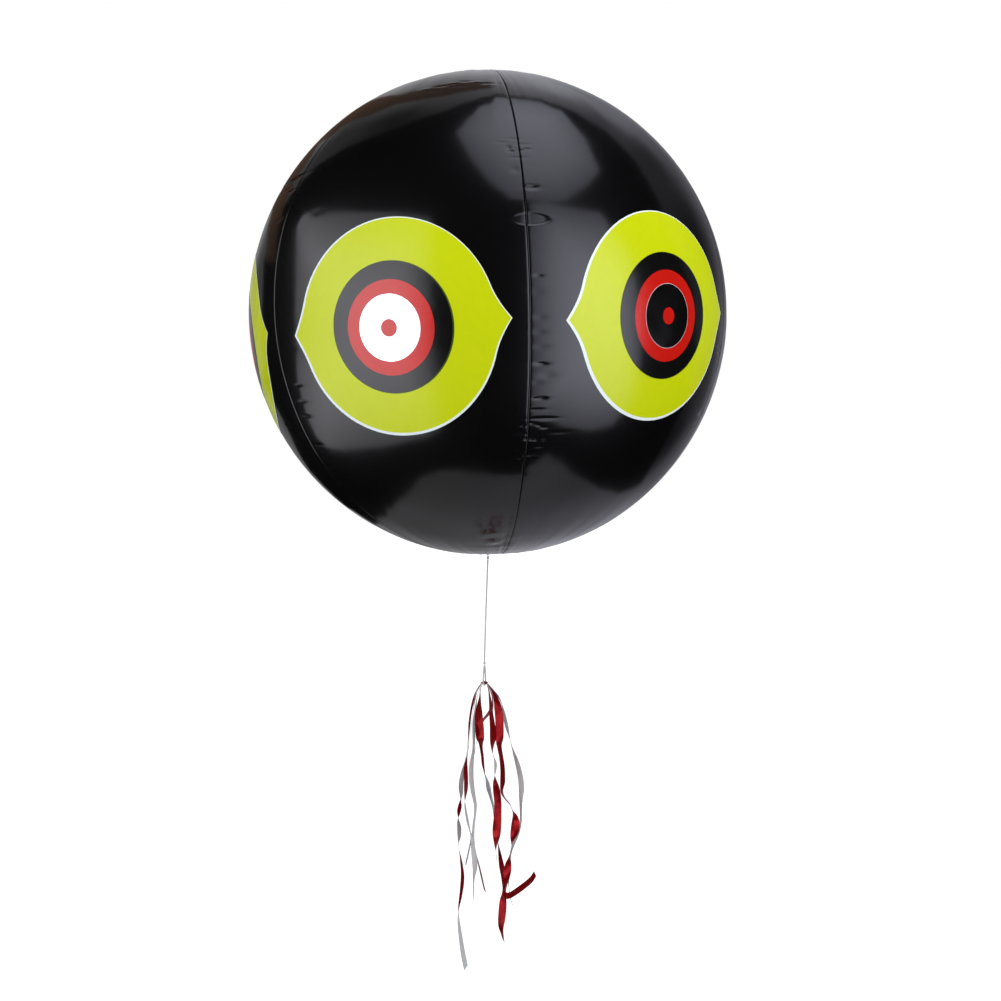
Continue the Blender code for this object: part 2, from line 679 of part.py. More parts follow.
def string_and_knots():
    ring = [(0, ring_radius * cos(a), ring_radius * sin(a)) for a in turn_steps(20)]
    tube("string_ring", ring, cord_diameter, white_string, string_pivot, closed=True)
    knot_top = -(ring_radius + cord_diameter / 2 + gap)
    knot("string_knot", (0, 0, knot_top), string_pivot)
    start = knot_top - knot_length - gap
    tassel_knot_top = -tassel_drop - cord_diameter / 2 + loop_length + gap + knot_length
    end = tassel_knot_top + gap
    route = [(tassel_side * side, 0, start + (end - start) * drop) for side, drop in cord_route_shares]
    tube("string", smooth_route(route, cord_point_step), cord_diameter, white_string, string_pivot)
    knot("tassel_knot", (tassel_side, 0, tassel_knot_top), string_pivot)
    tassel_loop()


def tassel_loop():
    """A slim closed loop of string, wider at the bottom, where the foil strips hang in it."""
    top_half = (cord_diameter + gap) / 2
    centres = loop_length - cord_diameter - top_half - loop_half_width
    tilt = asin((loop_half_width - top_half) / centres)
    low = [(loop_half_width, -pi - tilt + (pi + 2 * tilt) * i / 12, loop_half_width) for i in range(13)]
    high = [(top_half, tilt + (pi - 2 * tilt) * i / 6, loop_half_width + centres) for i in range(7)]
    outline = [(r * cos(a), z + r * sin(a)) for r, a, z in low + high]
    base = Vector((tassel_side, 0, -tassel_drop))
    across = Vector((sin(loop_turn), cos(loop_turn), 0))
    points = [base + across * u + Vector((0, 0, v)) for u, v in outline]
    tube("tassel_loop", points, cord_diameter, white_string, string_pivot, closed=True)


string_and_knots()

# Tassel: four foil strips folded over the loop, one nested in the other
tassel_pivot = pivot("tassel_pivot", Matrix.Translation((tassel_side, 0, -tassel_drop)), string_pivot)


def tail_rows(shares, side, nest):
    """One tail's rows from the fold down: over the loop's string first, then hanging."""
    reach = fold_reach + fold_step * nest
    rise = fold_height + fold_step * nest
    arch = [(side * reach * sin(a), 0, rise * cos(a), 0.5) for a in (pi / 4, pi / 2)]
    hang = [(x * tassel_spread, y * tassel_spread, fold_height - z * tassel_length, turn)
            for x, y, z, turn in shares]
    return arch + hang


def strip_section(before, row, after, width):
    """The four corners of a strip's section; the turn is in half turns from facing the front."""
    along = (Vector(after[:3]) - Vector(before[:3])).normalized()
    sideways = Vector((0, -1, 0)).cross(along).normalized()
    deep = sideways.cross(along)
    angle = pi * row[3]
    across = (sideways * cos(angle) + deep * sin(angle)) * width / 2
    face = along.cross(across).normalized() * foil_thickness / 2
    middle = Vector(row[:3])
    return [middle - across - face, middle + across - face, middle + across + face, middle - across + face]


def foil_strip(name, left_shares, right_shares, nest):
    """A strip pinched at its fold over the loop, where it is nested among the others."""
    fold = [(0, 0, fold_height + fold_step * nest, 0.5)]
    left = tail_rows(left_shares, -1, nest)[::-1]
    rows = left + fold + tail_rows(right_shares, 1, nest)
    middle = len(left) * foil_steps
    path = [curve_at(rows, i / foil_steps) for i in range(foil_steps * (len(rows) - 1) + 1)]
    runs = [0]
    for a, b in zip(path, path[1:]):
        runs.append(runs[-1] + (Vector(b[:3]) - Vector(a[:3])).length)
    bm = bmesh.new()
    rings = []
    for i, row in enumerate(path):
        spread = min(max((abs(runs[i] - runs[middle]) - fold_reach) / foil_spread_length, 0), 1)
        width = foil_pinch + (foil_width - foil_pinch) * spread
        corners = strip_section(path[max(i - 1, 0)], row, path[min(i + 1, len(path) - 1)], width)
        rings.append([bm.verts.new(corner) for corner in corners])
    for ring, following in zip(rings, rings[1:]):
        for j in range(4):
            k = (j + 1) % 4
            bm.faces.new((ring[j], ring[k], following[k], following[j]))
    bm.faces.new(rings[0])
    bm.faces.new(rings[-1])
    # The twisted faces are split here, so that every program reads the same surface
    bmesh.ops.triangulate(bm, faces=bm.faces)
    finish(name, bm, red_foil, tassel_pivot)


foil_strip("foil_strip_1", left_inner_shares, right_inner_shares, 0)
foil_strip("foil_strip_2", left_third_shares, right_crossing_shares, 1)
foil_strip("foil_strip_3", left_second_shares, right_third_shares, 2)
foil_strip("foil_strip_4", left_outer_shares, right_outer_shares, 3)
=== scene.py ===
import random
from math import acos, asin, atan2, cos, exp, pi, radians, sin, sqrt

import bmesh
import bpy
from mathutils import Matrix, Vector, noise


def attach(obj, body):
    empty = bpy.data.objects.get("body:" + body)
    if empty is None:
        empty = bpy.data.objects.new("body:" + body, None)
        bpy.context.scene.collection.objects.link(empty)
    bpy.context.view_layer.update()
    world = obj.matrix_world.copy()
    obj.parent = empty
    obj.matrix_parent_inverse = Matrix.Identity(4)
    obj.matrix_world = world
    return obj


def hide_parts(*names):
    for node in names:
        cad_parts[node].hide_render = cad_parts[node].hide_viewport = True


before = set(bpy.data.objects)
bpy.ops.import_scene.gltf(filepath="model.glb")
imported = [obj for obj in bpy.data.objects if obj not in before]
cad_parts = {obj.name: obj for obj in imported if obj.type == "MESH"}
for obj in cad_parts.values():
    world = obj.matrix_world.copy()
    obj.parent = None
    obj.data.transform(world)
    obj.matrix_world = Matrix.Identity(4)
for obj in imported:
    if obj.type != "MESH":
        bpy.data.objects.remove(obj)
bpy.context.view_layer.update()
millimetre = 0.001
print("frame loaded")

# The photograph's view: the camera looks slightly up the string and along +Y
view = {
    "place": Vector((0.0086, -0.8864, -0.28035)),
    "forward": Vector((0.0026, 0.9961, -0.0880)),
    "up": Vector((-0.0034, 0.0880, 0.9961)),
    "lens": 36.54,
    "sensor": 36.0,
    "pixels": 1001,
    "nearest": 0.01,
    "farthest": 50,
}


def viewAxes():
    forward = view["forward"].normalized()
    right = forward.cross(view["up"]).normalized()
    return right, right.cross(forward), forward


def throughPixel(x, y):
    # The way from the camera through that pixel of the photograph
    right, up, forward = viewAxes()
    focal = view["lens"] / view["sensor"] * view["pixels"]
    middle = view["pixels"] / 2
    return (forward + right * ((x - middle) / focal) + up * ((middle - y) / focal)).normalized()


def seenAt(x, y, depth):
    # The place seen in that pixel, when it lies that far behind the string
    ray = throughPixel(x, y)
    return view["place"] + ray * ((depth - view["place"].y) / ray.y)


def makeCamera():
    right, up, forward = viewAxes()
    lens = bpy.data.cameras.new("photoCamera")
    lens.lens = view["lens"]
    lens.sensor_width = view["sensor"]
    lens.clip_start = view["nearest"]
    lens.clip_end = view["farthest"]
    camera = bpy.data.objects.new("photoCamera", lens)
    turn = Matrix((right, up, -forward)).transposed().to_4x4()
    camera.matrix_world = Matrix.Translation(view["place"]) @ turn
    bpy.context.scene.collection.objects.link(camera)
    bpy.context.scene.camera = camera


makeCamera()


# Mesh building
def addPiece(name, mesh, body, slot, *replaced):
    piece = bpy.data.objects.new(name, mesh)
    bpy.context.scene.collection.objects.link(piece)
    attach(piece, body)
    if replaced:
        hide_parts(*replaced)
    return piece


def meshFrom(name, points, faces, materials, marks=None, smoothAngle=60, weld=0.0):
    mesh = bpy.data.meshes.new(name)
    mesh.from_pydata(points, [], faces)
    for material in materials:
        mesh.materials.append(material)
    if marks:
        mesh.polygons.foreach_set("material_index", marks)
    bm = bmesh.new()
    bm.from_mesh(mesh)
    if weld:
        bmesh.ops.remove_doubles(bm, verts=bm.verts, dist=weld)
    bmesh.ops.recalc_face_normals(bm, faces=bm.faces)
    bm.to_mesh(mesh)
    bm.free()
    mesh.shade_smooth()
    mesh.set_sharp_from_angle(angle=radians(smoothAngle))
    return mesh


def addSkins(points, faces, outer, inner, wrap):
    # A closed shell from two grids of points of the same shape
    start = len(points)
    rows, columns = len(outer), len(outer[0])
    for grid in (outer, inner):
        for row in grid:
            points.extend(row)
    under = rows * columns
    across = columns if wrap else columns - 1
    for i in range(rows - 1):
        for j in range(across):
            a, b = start + i * columns + j, start + i * columns + (j + 1) % columns
            faces.append((a, b, b + columns, a + columns))
            faces.append((a + under, a + under + columns, b + under + columns, b + under))
    for i in (0, rows - 1):
        for j in range(across):
            a, b = start + i * columns + j, start + i * columns + (j + 1) % columns
            faces.append((a, b, b + under, a + under))
    if not wrap:
        for j in (0, columns - 1):
            for i in range(rows - 1):
                a = start + i * columns + j
                faces.append((a, a + columns, a + columns + under, a + under))


def turnSteps(count):
    return [2 * pi * i / count for i in range(count)]


def tubeSkin(points, sides, side, radiusAt, closed=False):
    # Rings of points round a path and the faces between them; the radius depends on ring and angle
    rings, faces, count = [], [], len(points)
    for i, point in enumerate(points):
        after = points[(i + 1) % count] if closed or i + 1 < count else point
        before = points[i - 1] if closed or i else point
        along = (after - before).normalized()
        side = (side - along * side.dot(along)).normalized()
        deep = along.cross(side)
        rings += [point + (side * cos(a) + deep * sin(a)) * radiusAt(i, a) for a in turnSteps(sides)]
    for i in range(count if closed else count - 1):
        for j in range(sides):
            k, n = (j + 1) % sides, (i + 1) % count
            faces.append((i * sides + j, i * sides + k, n * sides + k, n * sides + j))
    if not closed:
        faces += [tuple(range(sides)), tuple((count - 1) * sides + j for j in range(sides))]
    return rings, faces


def smoothStep(t):
    t = min(max(t, 0), 1)
    return t * t * (3 - 2 * t)


def curveAt(points, place):
    # Catmull-Rom through points of any size; place counts in points from the first
    last = len(points) - 1
    i = min(int(place), last - 1)
    t = place - i
    b, c = points[i], points[i + 1]
    a = points[i - 1] if i > 0 else [2 * p - q for p, q in zip(b, c)]
    d = points[i + 2] if i + 2 <= last else [2 * q - p for p, q in zip(b, c)]
    value = []
    for w, x, y, z in zip(a, b, c, d):
        bend = (2 * w - 5 * x + 4 * y - z) * t * t + (3 * x - w - 3 * y + z) * t * t * t
        value.append(x + ((y - w) * t + bend) / 2)
    return value


def evenRoute(points, step, parts=20):
    # Points a step apart along a smooth curve through the given ones
    fine = [Vector(curveAt(points, i / parts)) for i in range(parts * (len(points) - 1) + 1)]
    lengths = [(b - a).length for a, b in zip(fine, fine[1:])]
    count = max(2, round(sum(lengths) / step))
    route, run, target = [fine[0]], 0, sum(lengths) / count
    for start, end, length in zip(fine, fine[1:], lengths):
        while len(route) < count and run + length >= target * len(route):
            route.append(start.lerp(end, (target * len(route) - run) / length))
        run += length
    return route + [fine[-1]]


# Shader parts
def newGroup(name, inputs, outputs):
    group = bpy.data.node_groups.new(name, "ShaderNodeTree")
    for label, kind, value in inputs:
        socket = group.interface.new_socket(label, in_out="INPUT", socket_type=kind)
        socket.default_value = value
    for label, kind in outputs:
        group.interface.new_socket(label, in_out="OUTPUT", socket_type=kind)
    entry = group.nodes.new("NodeGroupInput")
    leave = group.nodes.new("NodeGroupOutput")
    return group, entry, leave


def noiseNode(tree, vector, scale, detail, roughness=0.5):
    node = tree.nodes.new("ShaderNodeTexNoise")
    node.inputs["Detail"].default_value = detail
    node.inputs["Roughness"].default_value = roughness
    tree.links.new(vector, node.inputs["Vector"])
    if isinstance(scale, (int, float)):
        node.inputs["Scale"].default_value = scale
    else:
        tree.links.new(scale, node.inputs["Scale"])
    return node


def mathNode(tree, operation, *values):
    node = tree.nodes.new("ShaderNodeMath")
    node.operation = operation
    for socket, value in zip(node.inputs, values):
        if isinstance(value, (int, float)):
            socket.default_value = value
        else:
            tree.links.new(value, socket)
    return node.outputs[0]


def rangeNode(tree, value, low, high, toLow, toHigh):
    node = tree.nodes.new("ShaderNodeMapRange")
    for label, given in (("Value", value), ("From Min", low), ("From Max", high),
                         ("To Min", toLow), ("To Max", toHigh)):
        if isinstance(given, (int, float)):
            node.inputs[label].default_value = given
        else:
            tree.links.new(given, node.inputs[label])
    return node.outputs["Result"]


def mixColour(tree, share, first, second):
    node = tree.nodes.new("ShaderNodeMix")
    node.data_type = "RGBA"
    for label, given in (("Factor", share), ("A", first), ("B", second)):
        socket = next(s for s in node.inputs if s.name == label and s.enabled)
        if isinstance(given, (int, float)):
            socket.default_value = given
        elif isinstance(given, tuple):
            socket.default_value = (*given, 1)
        else:
            tree.links.new(given, socket)
    return next(s for s in node.outputs if s.enabled)


# Film: a noise is its scale, detail and roughness, and a range is where its mask begins and ends
film = {
    "waveDetail": 2,
    "smear": (14, 4, 0.6),
    "smearRange": (0.35, 0.7),
    "fine": (900, 2),
    "fineShare": 0.02,
    "specks": 260,
    "speckRange": (0.03, 0.08),
    "patches": (9, 3),
    "patchRange": (0.5, 0.68),
    "ior": 1.53,
    "hazeRoughness": 0.38,
    "hazeIor": 1.5,
    "dustColour": (0.35, 0.34, 0.32),
    "bump": 0.5,
}


def makeSheetGrain():
    # Slow waves in the film, fine rub marks and settled dust
    group, entry, leave = newGroup(
        "sheetGrain",
        [("Gloss", "NodeSocketFloat", 0.14), ("Rub", "NodeSocketFloat", 0.05),
         ("Wave Size", "NodeSocketFloat", 60.0), ("Dust", "NodeSocketFloat", 0.3)],
        [("Roughness", "NodeSocketFloat"), ("Height", "NodeSocketFloat"), ("Dust", "NodeSocketFloat")])
    place = group.nodes.new("ShaderNodeTexCoord").outputs["Object"]
    wave = noiseNode(group, place, entry.outputs["Wave Size"], film["waveDetail"])
    smear = noiseNode(group, place, *film["smear"])
    fine = noiseNode(group, place, *film["fine"])
    rub = mathNode(group, "MULTIPLY", rangeNode(group, smear.outputs["Fac"], *film["smearRange"], 0, 1),
                   entry.outputs["Rub"])
    group.links.new(mathNode(group, "ADD", entry.outputs["Gloss"], rub), leave.inputs["Roughness"])
    height = mathNode(group, "ADD", wave.outputs["Fac"],
                      mathNode(group, "MULTIPLY", fine.outputs["Fac"], film["fineShare"]))
    group.links.new(height, leave.inputs["Height"])
    specks = group.nodes.new("ShaderNodeTexVoronoi")
    specks.inputs["Scale"].default_value = film["specks"]
    group.links.new(place, specks.inputs["Vector"])
    patches = noiseNode(group, place, *film["patches"])
    inPatch = rangeNode(group, patches.outputs["Fac"], *film["patchRange"], 0, 1)
    speck = rangeNode(group, specks.outputs["Distance"], *film["speckRange"], 1, 0)
    dust = mathNode(group, "MULTIPLY", mathNode(group, "MULTIPLY", speck, inPatch), entry.outputs["Dust"])
    group.links.new(dust, leave.inputs["Dust"])
    return group


crumpledFoil = {
    "ior": 1.25,
    "softShare": 0.6,
    "softDetail": 3,
    "roughRange": (0.3, 0.7),
    "roughGain": 0.12,
    "distance": 0.0003,
}


def makeFoilCrease():
    # Sharp little facets, as in foil that was crumpled and pulled flat again
    group, entry, leave = newGroup(
        "foilCrease",
        [("Size", "NodeSocketFloat", 120.0), ("Gloss", "NodeSocketFloat", 0.12)],
        [("Height", "NodeSocketFloat"), ("Roughness", "NodeSocketFloat")])
    place = group.nodes.new("ShaderNodeTexCoord").outputs["Object"]
    cells = group.nodes.new("ShaderNodeTexVoronoi")
    group.links.new(place, cells.inputs["Vector"])
    group.links.new(entry.outputs["Size"], cells.inputs["Scale"])
    softSize = mathNode(group, "MULTIPLY", entry.outputs["Size"], crumpledFoil["softShare"])
    soft = noiseNode(group, place, softSize, crumpledFoil["softDetail"])
    height = mathNode(group, "ADD", cells.outputs["Distance"], soft.outputs["Fac"])
    group.links.new(height, leave.inputs["Height"])
    rough = rangeNode(group, soft.outputs["Fac"], *crumpledFoil["roughRange"], 0, crumpledFoil["roughGain"])
    group.links.new(mathNode(group, "ADD", rough, entry.outputs["Gloss"]), leave.inputs["Roughness"])
    return group


sheetGrain = makeSheetGrain()
foilCrease = makeFoilCrease()


def placeGroup(tree, group, **values):
    node = tree.nodes.new("ShaderNodeGroup")
    node.node_tree = group
    for label, value in values.items():
        node.inputs[label.replace("_", " ")].default_value = value
    return node


def newMaterial(name, colour, metallic=0.0, ior=1.5):
    material = bpy.data.materials.new(name)
    material.use_nodes = True
    shader = material.node_tree.nodes["Principled BSDF"]
    shader.inputs["Base Color"].default_value = (*colour, 1)
    shader.inputs["Metallic"].default_value = metallic
    shader.inputs["IOR"].default_value = ior
    material.diffuse_color = (*colour, 1)
    return material, material.node_tree, shader


def addBump(tree, shader, height, strength, distance):
    bump = tree.nodes.new("ShaderNodeBump")
    bump.inputs["Strength"].default_value = strength
    bump.inputs["Distance"].default_value = distance
    tree.links.new(height, bump.inputs["Height"])
    tree.links.new(bump.outputs["Normal"], shader.inputs["Normal"])


def vinyl(name, colour, gloss, rub, waves, dust, distance=0.0001, haze=0.0):
    # A sharp gloss, with a weak wide one over it where the film is hazy
    material, tree, shader = newMaterial(name, colour, 0.0, film["ior"])
    shader.inputs["Coat Weight"].default_value = haze
    shader.inputs["Coat Roughness"].default_value = film["hazeRoughness"]
    shader.inputs["Coat IOR"].default_value = film["hazeIor"]
    grain = placeGroup(tree, sheetGrain, Gloss=gloss, Rub=rub, Wave_Size=waves, Dust=dust)
    tree.links.new(grain.outputs["Roughness"], shader.inputs["Roughness"])
    dusted = mixColour(tree, grain.outputs["Dust"], colour, film["dustColour"])
    tree.links.new(dusted, shader.inputs["Base Color"])
    addBump(tree, shader, grain.outputs["Height"], film["bump"], distance)
    return material


ink = {
    "rub": 0.06,
    "waves": 60.0,
    "dust": 0.03,
    "dustColour": (0.5, 0.5, 0.46),
    "tone": (160, 4, 0.6),
    "toneRange": (0.3, 0.75),
    "bump": 0.5,
    "distance": 0.0002,
}


def printInk(name, colour, second, gloss, ior=1.41):
    # Screen print: the film shows through a little in a fine, uneven grain
    material, tree, shader = newMaterial(name, colour, 0.0, ior)
    place = tree.nodes.new("ShaderNodeTexCoord").outputs["Object"]
    grain = placeGroup(tree, sheetGrain, Gloss=gloss, Rub=ink["rub"], Wave_Size=ink["waves"],
                       Dust=ink["dust"])
    tone = noiseNode(tree, place, *ink["tone"])
    share = rangeNode(tree, tone.outputs["Fac"], *ink["toneRange"], 0, 1)
    inked = mixColour(tree, share, colour, second)
    dusted = mixColour(tree, grain.outputs["Dust"], inked, ink["dustColour"])
    tree.links.new(dusted, shader.inputs["Base Color"])
    tree.links.new(grain.outputs["Roughness"], shader.inputs["Roughness"])
    addBump(tree, shader, grain.outputs["Height"], ink["bump"], ink["distance"])
    return material


def foil(name, colour, size, gloss, strength, metallic=1.0):
    material, tree, shader = newMaterial(name, colour, metallic, crumpledFoil["ior"])
    crease = placeGroup(tree, foilCrease, Size=size, Gloss=gloss)
    tree.links.new(crease.outputs["Roughness"], shader.inputs["Roughness"])
    addBump(tree, shader, crease.outputs["Height"], strength, crumpledFoil["distance"])
    return material


twine = {
    "roughness": 0.75,
    "sheen": 0.1,
    "fibres": (5200, 3, 0.65),
    "soil": (260, 2),
    "soilRange": (0.35, 0.7),
    "soilShade": 0.82,
    "bump": 0.6,
    "distance": 0.0001,
}


def cotton(name, colour):
    material, tree, shader = newMaterial(name, colour)
    shader.inputs["Roughness"].default_value = twine["roughness"]
    shader.inputs["Sheen Weight"].default_value = twine["sheen"]
    place = tree.nodes.new("ShaderNodeTexCoord").outputs["Object"]
    fibres = noiseNode(tree, place, *twine["fibres"])
    soil = noiseNode(tree, place, *twine["soil"])
    tone = mixColour(tree, rangeNode(tree, soil.outputs["Fac"], *twine["soilRange"], 0, 1), colour,
                     tuple(twine["soilShade"] * c for c in colour))
    tree.links.new(tone, shader.inputs["Base Color"])
    addBump(tree, shader, fibres.outputs["Fac"], twine["bump"], twine["distance"])
    return material


blackVinyl = vinyl("blackVinyl", (0.0016, 0.0016, 0.0018), gloss=0.10, rub=0.06, waves=26.0,
                   dust=0.07, distance=0.0002, haze=0.14)
smokeVinyl = vinyl("smokeVinyl", (0.028, 0.030, 0.030), gloss=0.18, rub=0.10, waves=60.0, dust=0.2)
valveVinyl = vinyl("valveVinyl", (0.012, 0.012, 0.013), gloss=0.30, rub=0.12, waves=90.0, dust=0.2)
limeInk = printInk("limeInk", (0.56, 0.65, 0.0008), (0.54, 0.63, 0.0006), gloss=0.16)
whiteInk = printInk("whiteInk", (0.80, 0.88, 0.92), (0.76, 0.85, 0.90), gloss=0.20)
overprintInk = printInk("overprintInk", (0.045, 0.085, 0.006), (0.035, 0.07, 0.006), gloss=0.18)
blackInk = printInk("blackInk", (0.0034, 0.0036, 0.0034), (0.005, 0.005, 0.005), gloss=0.12, ior=1.57)
redInk = printInk("redInk", (0.56, 0.0080, 0.0024), (0.53, 0.0065, 0.0020), gloss=0.16, ior=1.57)
mirrorFilm = foil("mirrorFilm", (0.90, 0.91, 0.92), 60.0, gloss=0.03, strength=0.35)
redFoil = foil("redFoil", (0.27, 0.0045, 0.006), 180.0, gloss=0.15, strength=0.6, metallic=0.5)
silverFoil = foil("silverFoil", (0.68, 0.70, 0.72), 180.0, gloss=0.28, strength=0.5, metallic=0.25)
whiteString = cotton("whiteString", (0.50, 0.50, 0.495))
print("materials made")

# String: its route is the one in the part's source
string = {
    "diameter": 0.0014,
    "eye": Vector((0, 0, -0.40535)),
    "route": ((0, 0, -0.41080), (-0.00084, 0, -0.43361), (-0.00157, 0, -0.45643),
              (-0.00224, 0, -0.47924), (-0.0028, 0, -0.50205)),
    "ringRadius": 0.00155,
    "loopBottom": Vector((-0.0028, 0, -0.52355)),
    "loopLength": 0.0190,
    "loopHalfWidth": 0.0027,
    "loopTurn": radians(25),
    "knotRadius": 0.00108,
    "knotLength": 0.0026,
    "knotPlyShare": 0.40,
    "knotTurns": 3,
    "pitch": 0.0042,
    "plies": 3,
    "plyDip": 0.14,
    "gap": 0.0003,
    "step": 0.00035,
    "loopStep": 0.0004,
    "sides": 16,
    "knotSides": 10,
    "knotSteps": 72,
    "ringPoints": 48,
    "loopLowSteps": 24,
    "loopTopSteps": 10,
    "smoothAngle": 80,
}
# The knot's core: how far out and how far down, as shares of the knot's radius and length
knotCoreShares = ((0.35, 0.0), (0.62, 0.10), (0.66, 0.5), (0.62, 0.90), (0.35, 1.0))


def twistedCord(name, points, replaced, closed=False):
    # A tube whose section has one lobe for each ply, turning as it goes
    radius, dip, plies = string["diameter"] / 2, string["plyDip"], string["plies"]
    turns = max(1, round(sum((b - a).length for a, b in zip(points, points[1:])) / string["pitch"]))
    twist = 2 * pi * turns / (len(points) if closed else len(points) - 1) / plies
    rings, faces = tubeSkin(points, string["sides"], Vector((1, 0, 0)), lambda i, a: radius
                            * (1 - dip + dip * abs(cos(plies * (a - twist * i) / 2))), closed)
    mesh = meshFrom(name, rings, faces, [whiteString], smoothAngle=string["smoothAngle"])
    return addPiece(name, mesh, "string", "white_string", replaced)


def makeKnot(name, top, replaced):
    # A few tight turns of one ply round a core
    radius, height, steps = string["knotRadius"], string["knotLength"], string["knotSteps"]
    ply = radius * string["knotPlyShare"]
    points = []
    for i in range(steps + 1):
        a = 2 * pi * string["knotTurns"] * i / steps
        lift = -ply - (height - 2 * ply) * i / steps
        points.append(top + Vector(((radius - ply) * cos(a), (radius - ply) * sin(a), lift)))
    coil, faces = tubeSkin(points, string["knotSides"], Vector((0, 0, 1)), lambda i, a: ply)
    middle = [top - Vector((0, 0, down * height)) for out, down in knotCoreShares]
    core, coreFaces = tubeSkin(middle, string["knotSides"], Vector((1, 0, 0)),
                               lambda i, a: knotCoreShares[i][0] * radius)
    faces += [tuple(len(coil) + v for v in face) for face in coreFaces]
    mesh = meshFrom(name, coil + core, faces, [whiteString], smoothAngle=string["smoothAngle"])
    return addPiece(name, mesh, "string", "white_string", replaced)


def loopPoints():
    # The tassel's closed loop: a round bottom and two sides that meet in a narrow top
    thick, half = string["diameter"], string["loopHalfWidth"]
    topHalf = (thick + string["gap"]) / 2
    centres = string["loopLength"] - thick - topHalf - half
    tilt = asin((half - topHalf) / centres)
    lows, tops = string["loopLowSteps"], string["loopTopSteps"]
    low = [(half, -pi - tilt + (pi + 2 * tilt) * i / lows, half) for i in range(lows + 1)]
    high = [(topHalf, tilt + (pi - 2 * tilt) * i / tops, half + centres) for i in range(tops + 1)]
    outline = [(r * cos(a), z + r * sin(a)) for r, a, z in low + high]
    across = Vector((sin(string["loopTurn"]), cos(string["loopTurn"]), 0))
    corners = [string["loopBottom"] + across * u + Vector((0, 0, v)) for u, v in outline]
    points = []
    for a, b in zip(corners, corners[1:] + corners[:1]):
        steps = max(1, round((b - a).length / string["loopStep"]))
        points += [a.lerp(b, i / steps) for i in range(steps)]
    return points


def makeString():
    thick, turn = string["diameter"], string["ringRadius"]
    path = evenRoute(string["route"], string["step"])
    piece = twistedCord("stringLength", path, "string")
    ring = [string["eye"] + Vector((0, turn * cos(a), turn * sin(a)))
            for a in turnSteps(string["ringPoints"])]
    ringPiece = twistedCord("stringRing", ring, "string_ring", closed=True)
    top = string["eye"].z - turn - thick / 2 - string["gap"]
    upper = makeKnot("stringKnot", Vector((0, 0, top)), "string_knot")
    low = Vector(string["route"][-1]) - Vector((0, 0, string["gap"]))
    lower = makeKnot("tasselKnot", low, "tassel_knot")
    loop = twistedCord("tasselLoop", loopPoints(), "tassel_loop", closed=True)


makeString()
print("string made")

# Ball: six welded panels of blown-up film, round but drawn in along the welds
ball = {
    "centre": Vector((0, 0, -0.20415)),
    "radius": 0.200,
    "crownFlat": 0.0025,
    "crownEdge": radians(78),
    "crownEnd": radians(86),
    "panels": 6,
    "firstSeam": radians(8.45),
    "lean": radians(-1.6),
    "sheet": 0.0003,
    "gap": 0.0003,
    "tip": 0.009,
    "fin": 0.0030,
    "swell": 0.0006,
    "grooveDepth": 0.0006,
    "grooveWidth": 0.00032,
    "flatness": 0.0003,
    "waveDepth": 0.00014,
    "waveSize": 0.060,
    "rowStep": 0.0013,
    "fineStep": 0.0006,
    "fineRows": (radians(-36), radians(35)),
    "smoothAngle": 60,
}
# Small puckers along the welds; each size comes with its place in the noise
pucker = {
    "depth": 0.00012,
    "reach": 0.008,
    "ends": 5,
    "wide": (0.0085, 3.1),
    "fine": (0.0040, 8.2),
    "own": (0.0060, 1.7),
    "patch": (0.05, 5.5),
    "patchShares": (0.4, 1.2, 0.2),
    "bothShare": 0.5,
    "fineShare": 0.5,
    "ownShare": 0.7,
    "seamStep": 17.3,
    "sideStep": 40.7,
}
# Folds that run out from the poles; the rays are noise scales round the ball and up it
fan = {
    "depth": 0.00030,
    "start": radians(26),
    "span": radians(46),
    "rays": ((7, 1.3), (25, 1.8)),
}
# A shallow pocket over the front weld: it slopes down from its left end and is shut off at its right
pocket = {
    "side": 0.0028,
    "latitude": radians(14.8),
    "halfWidth": 0.0142,
    "halfHeight": 0.0048,
    "depth": 0.0006,
    "rim": 0.36,
}
# The film is crumpled a little over the string's eye, by the front weld
crumple = {
    "side": -0.011,
    "latitude": radians(-63.5),
    "halfWidth": 0.013,
    "halfHeight": 0.020,
    "depth": 0.0012,
    "size": 0.0110,
    "layer": 4.4,
    "end": 6,
}
valve = {
    "panel": 3,
    "latitude": radians(50),
    "hole": 0.0060,
    "holeDepth": 0.02,
    "holeSides": 64,
    "flange": 0.0130,
}
# Where the film's columns of points stand, as shares of the way from a weld to a panel's middle
seamShares = (0.0, 0.0025, 0.0055, 0.0095, 0.014, 0.020, 0.028, 0.037, 0.046, 0.056, 0.066, 0.077, 0.089,
              0.102, 0.116, 0.132, 0.150, 0.174, 0.205, 0.245, 0.295, 0.350, 0.410, 0.470, 0.530, 0.590,
              0.650, 0.710, 0.770, 0.830, 0.890, 0.950)
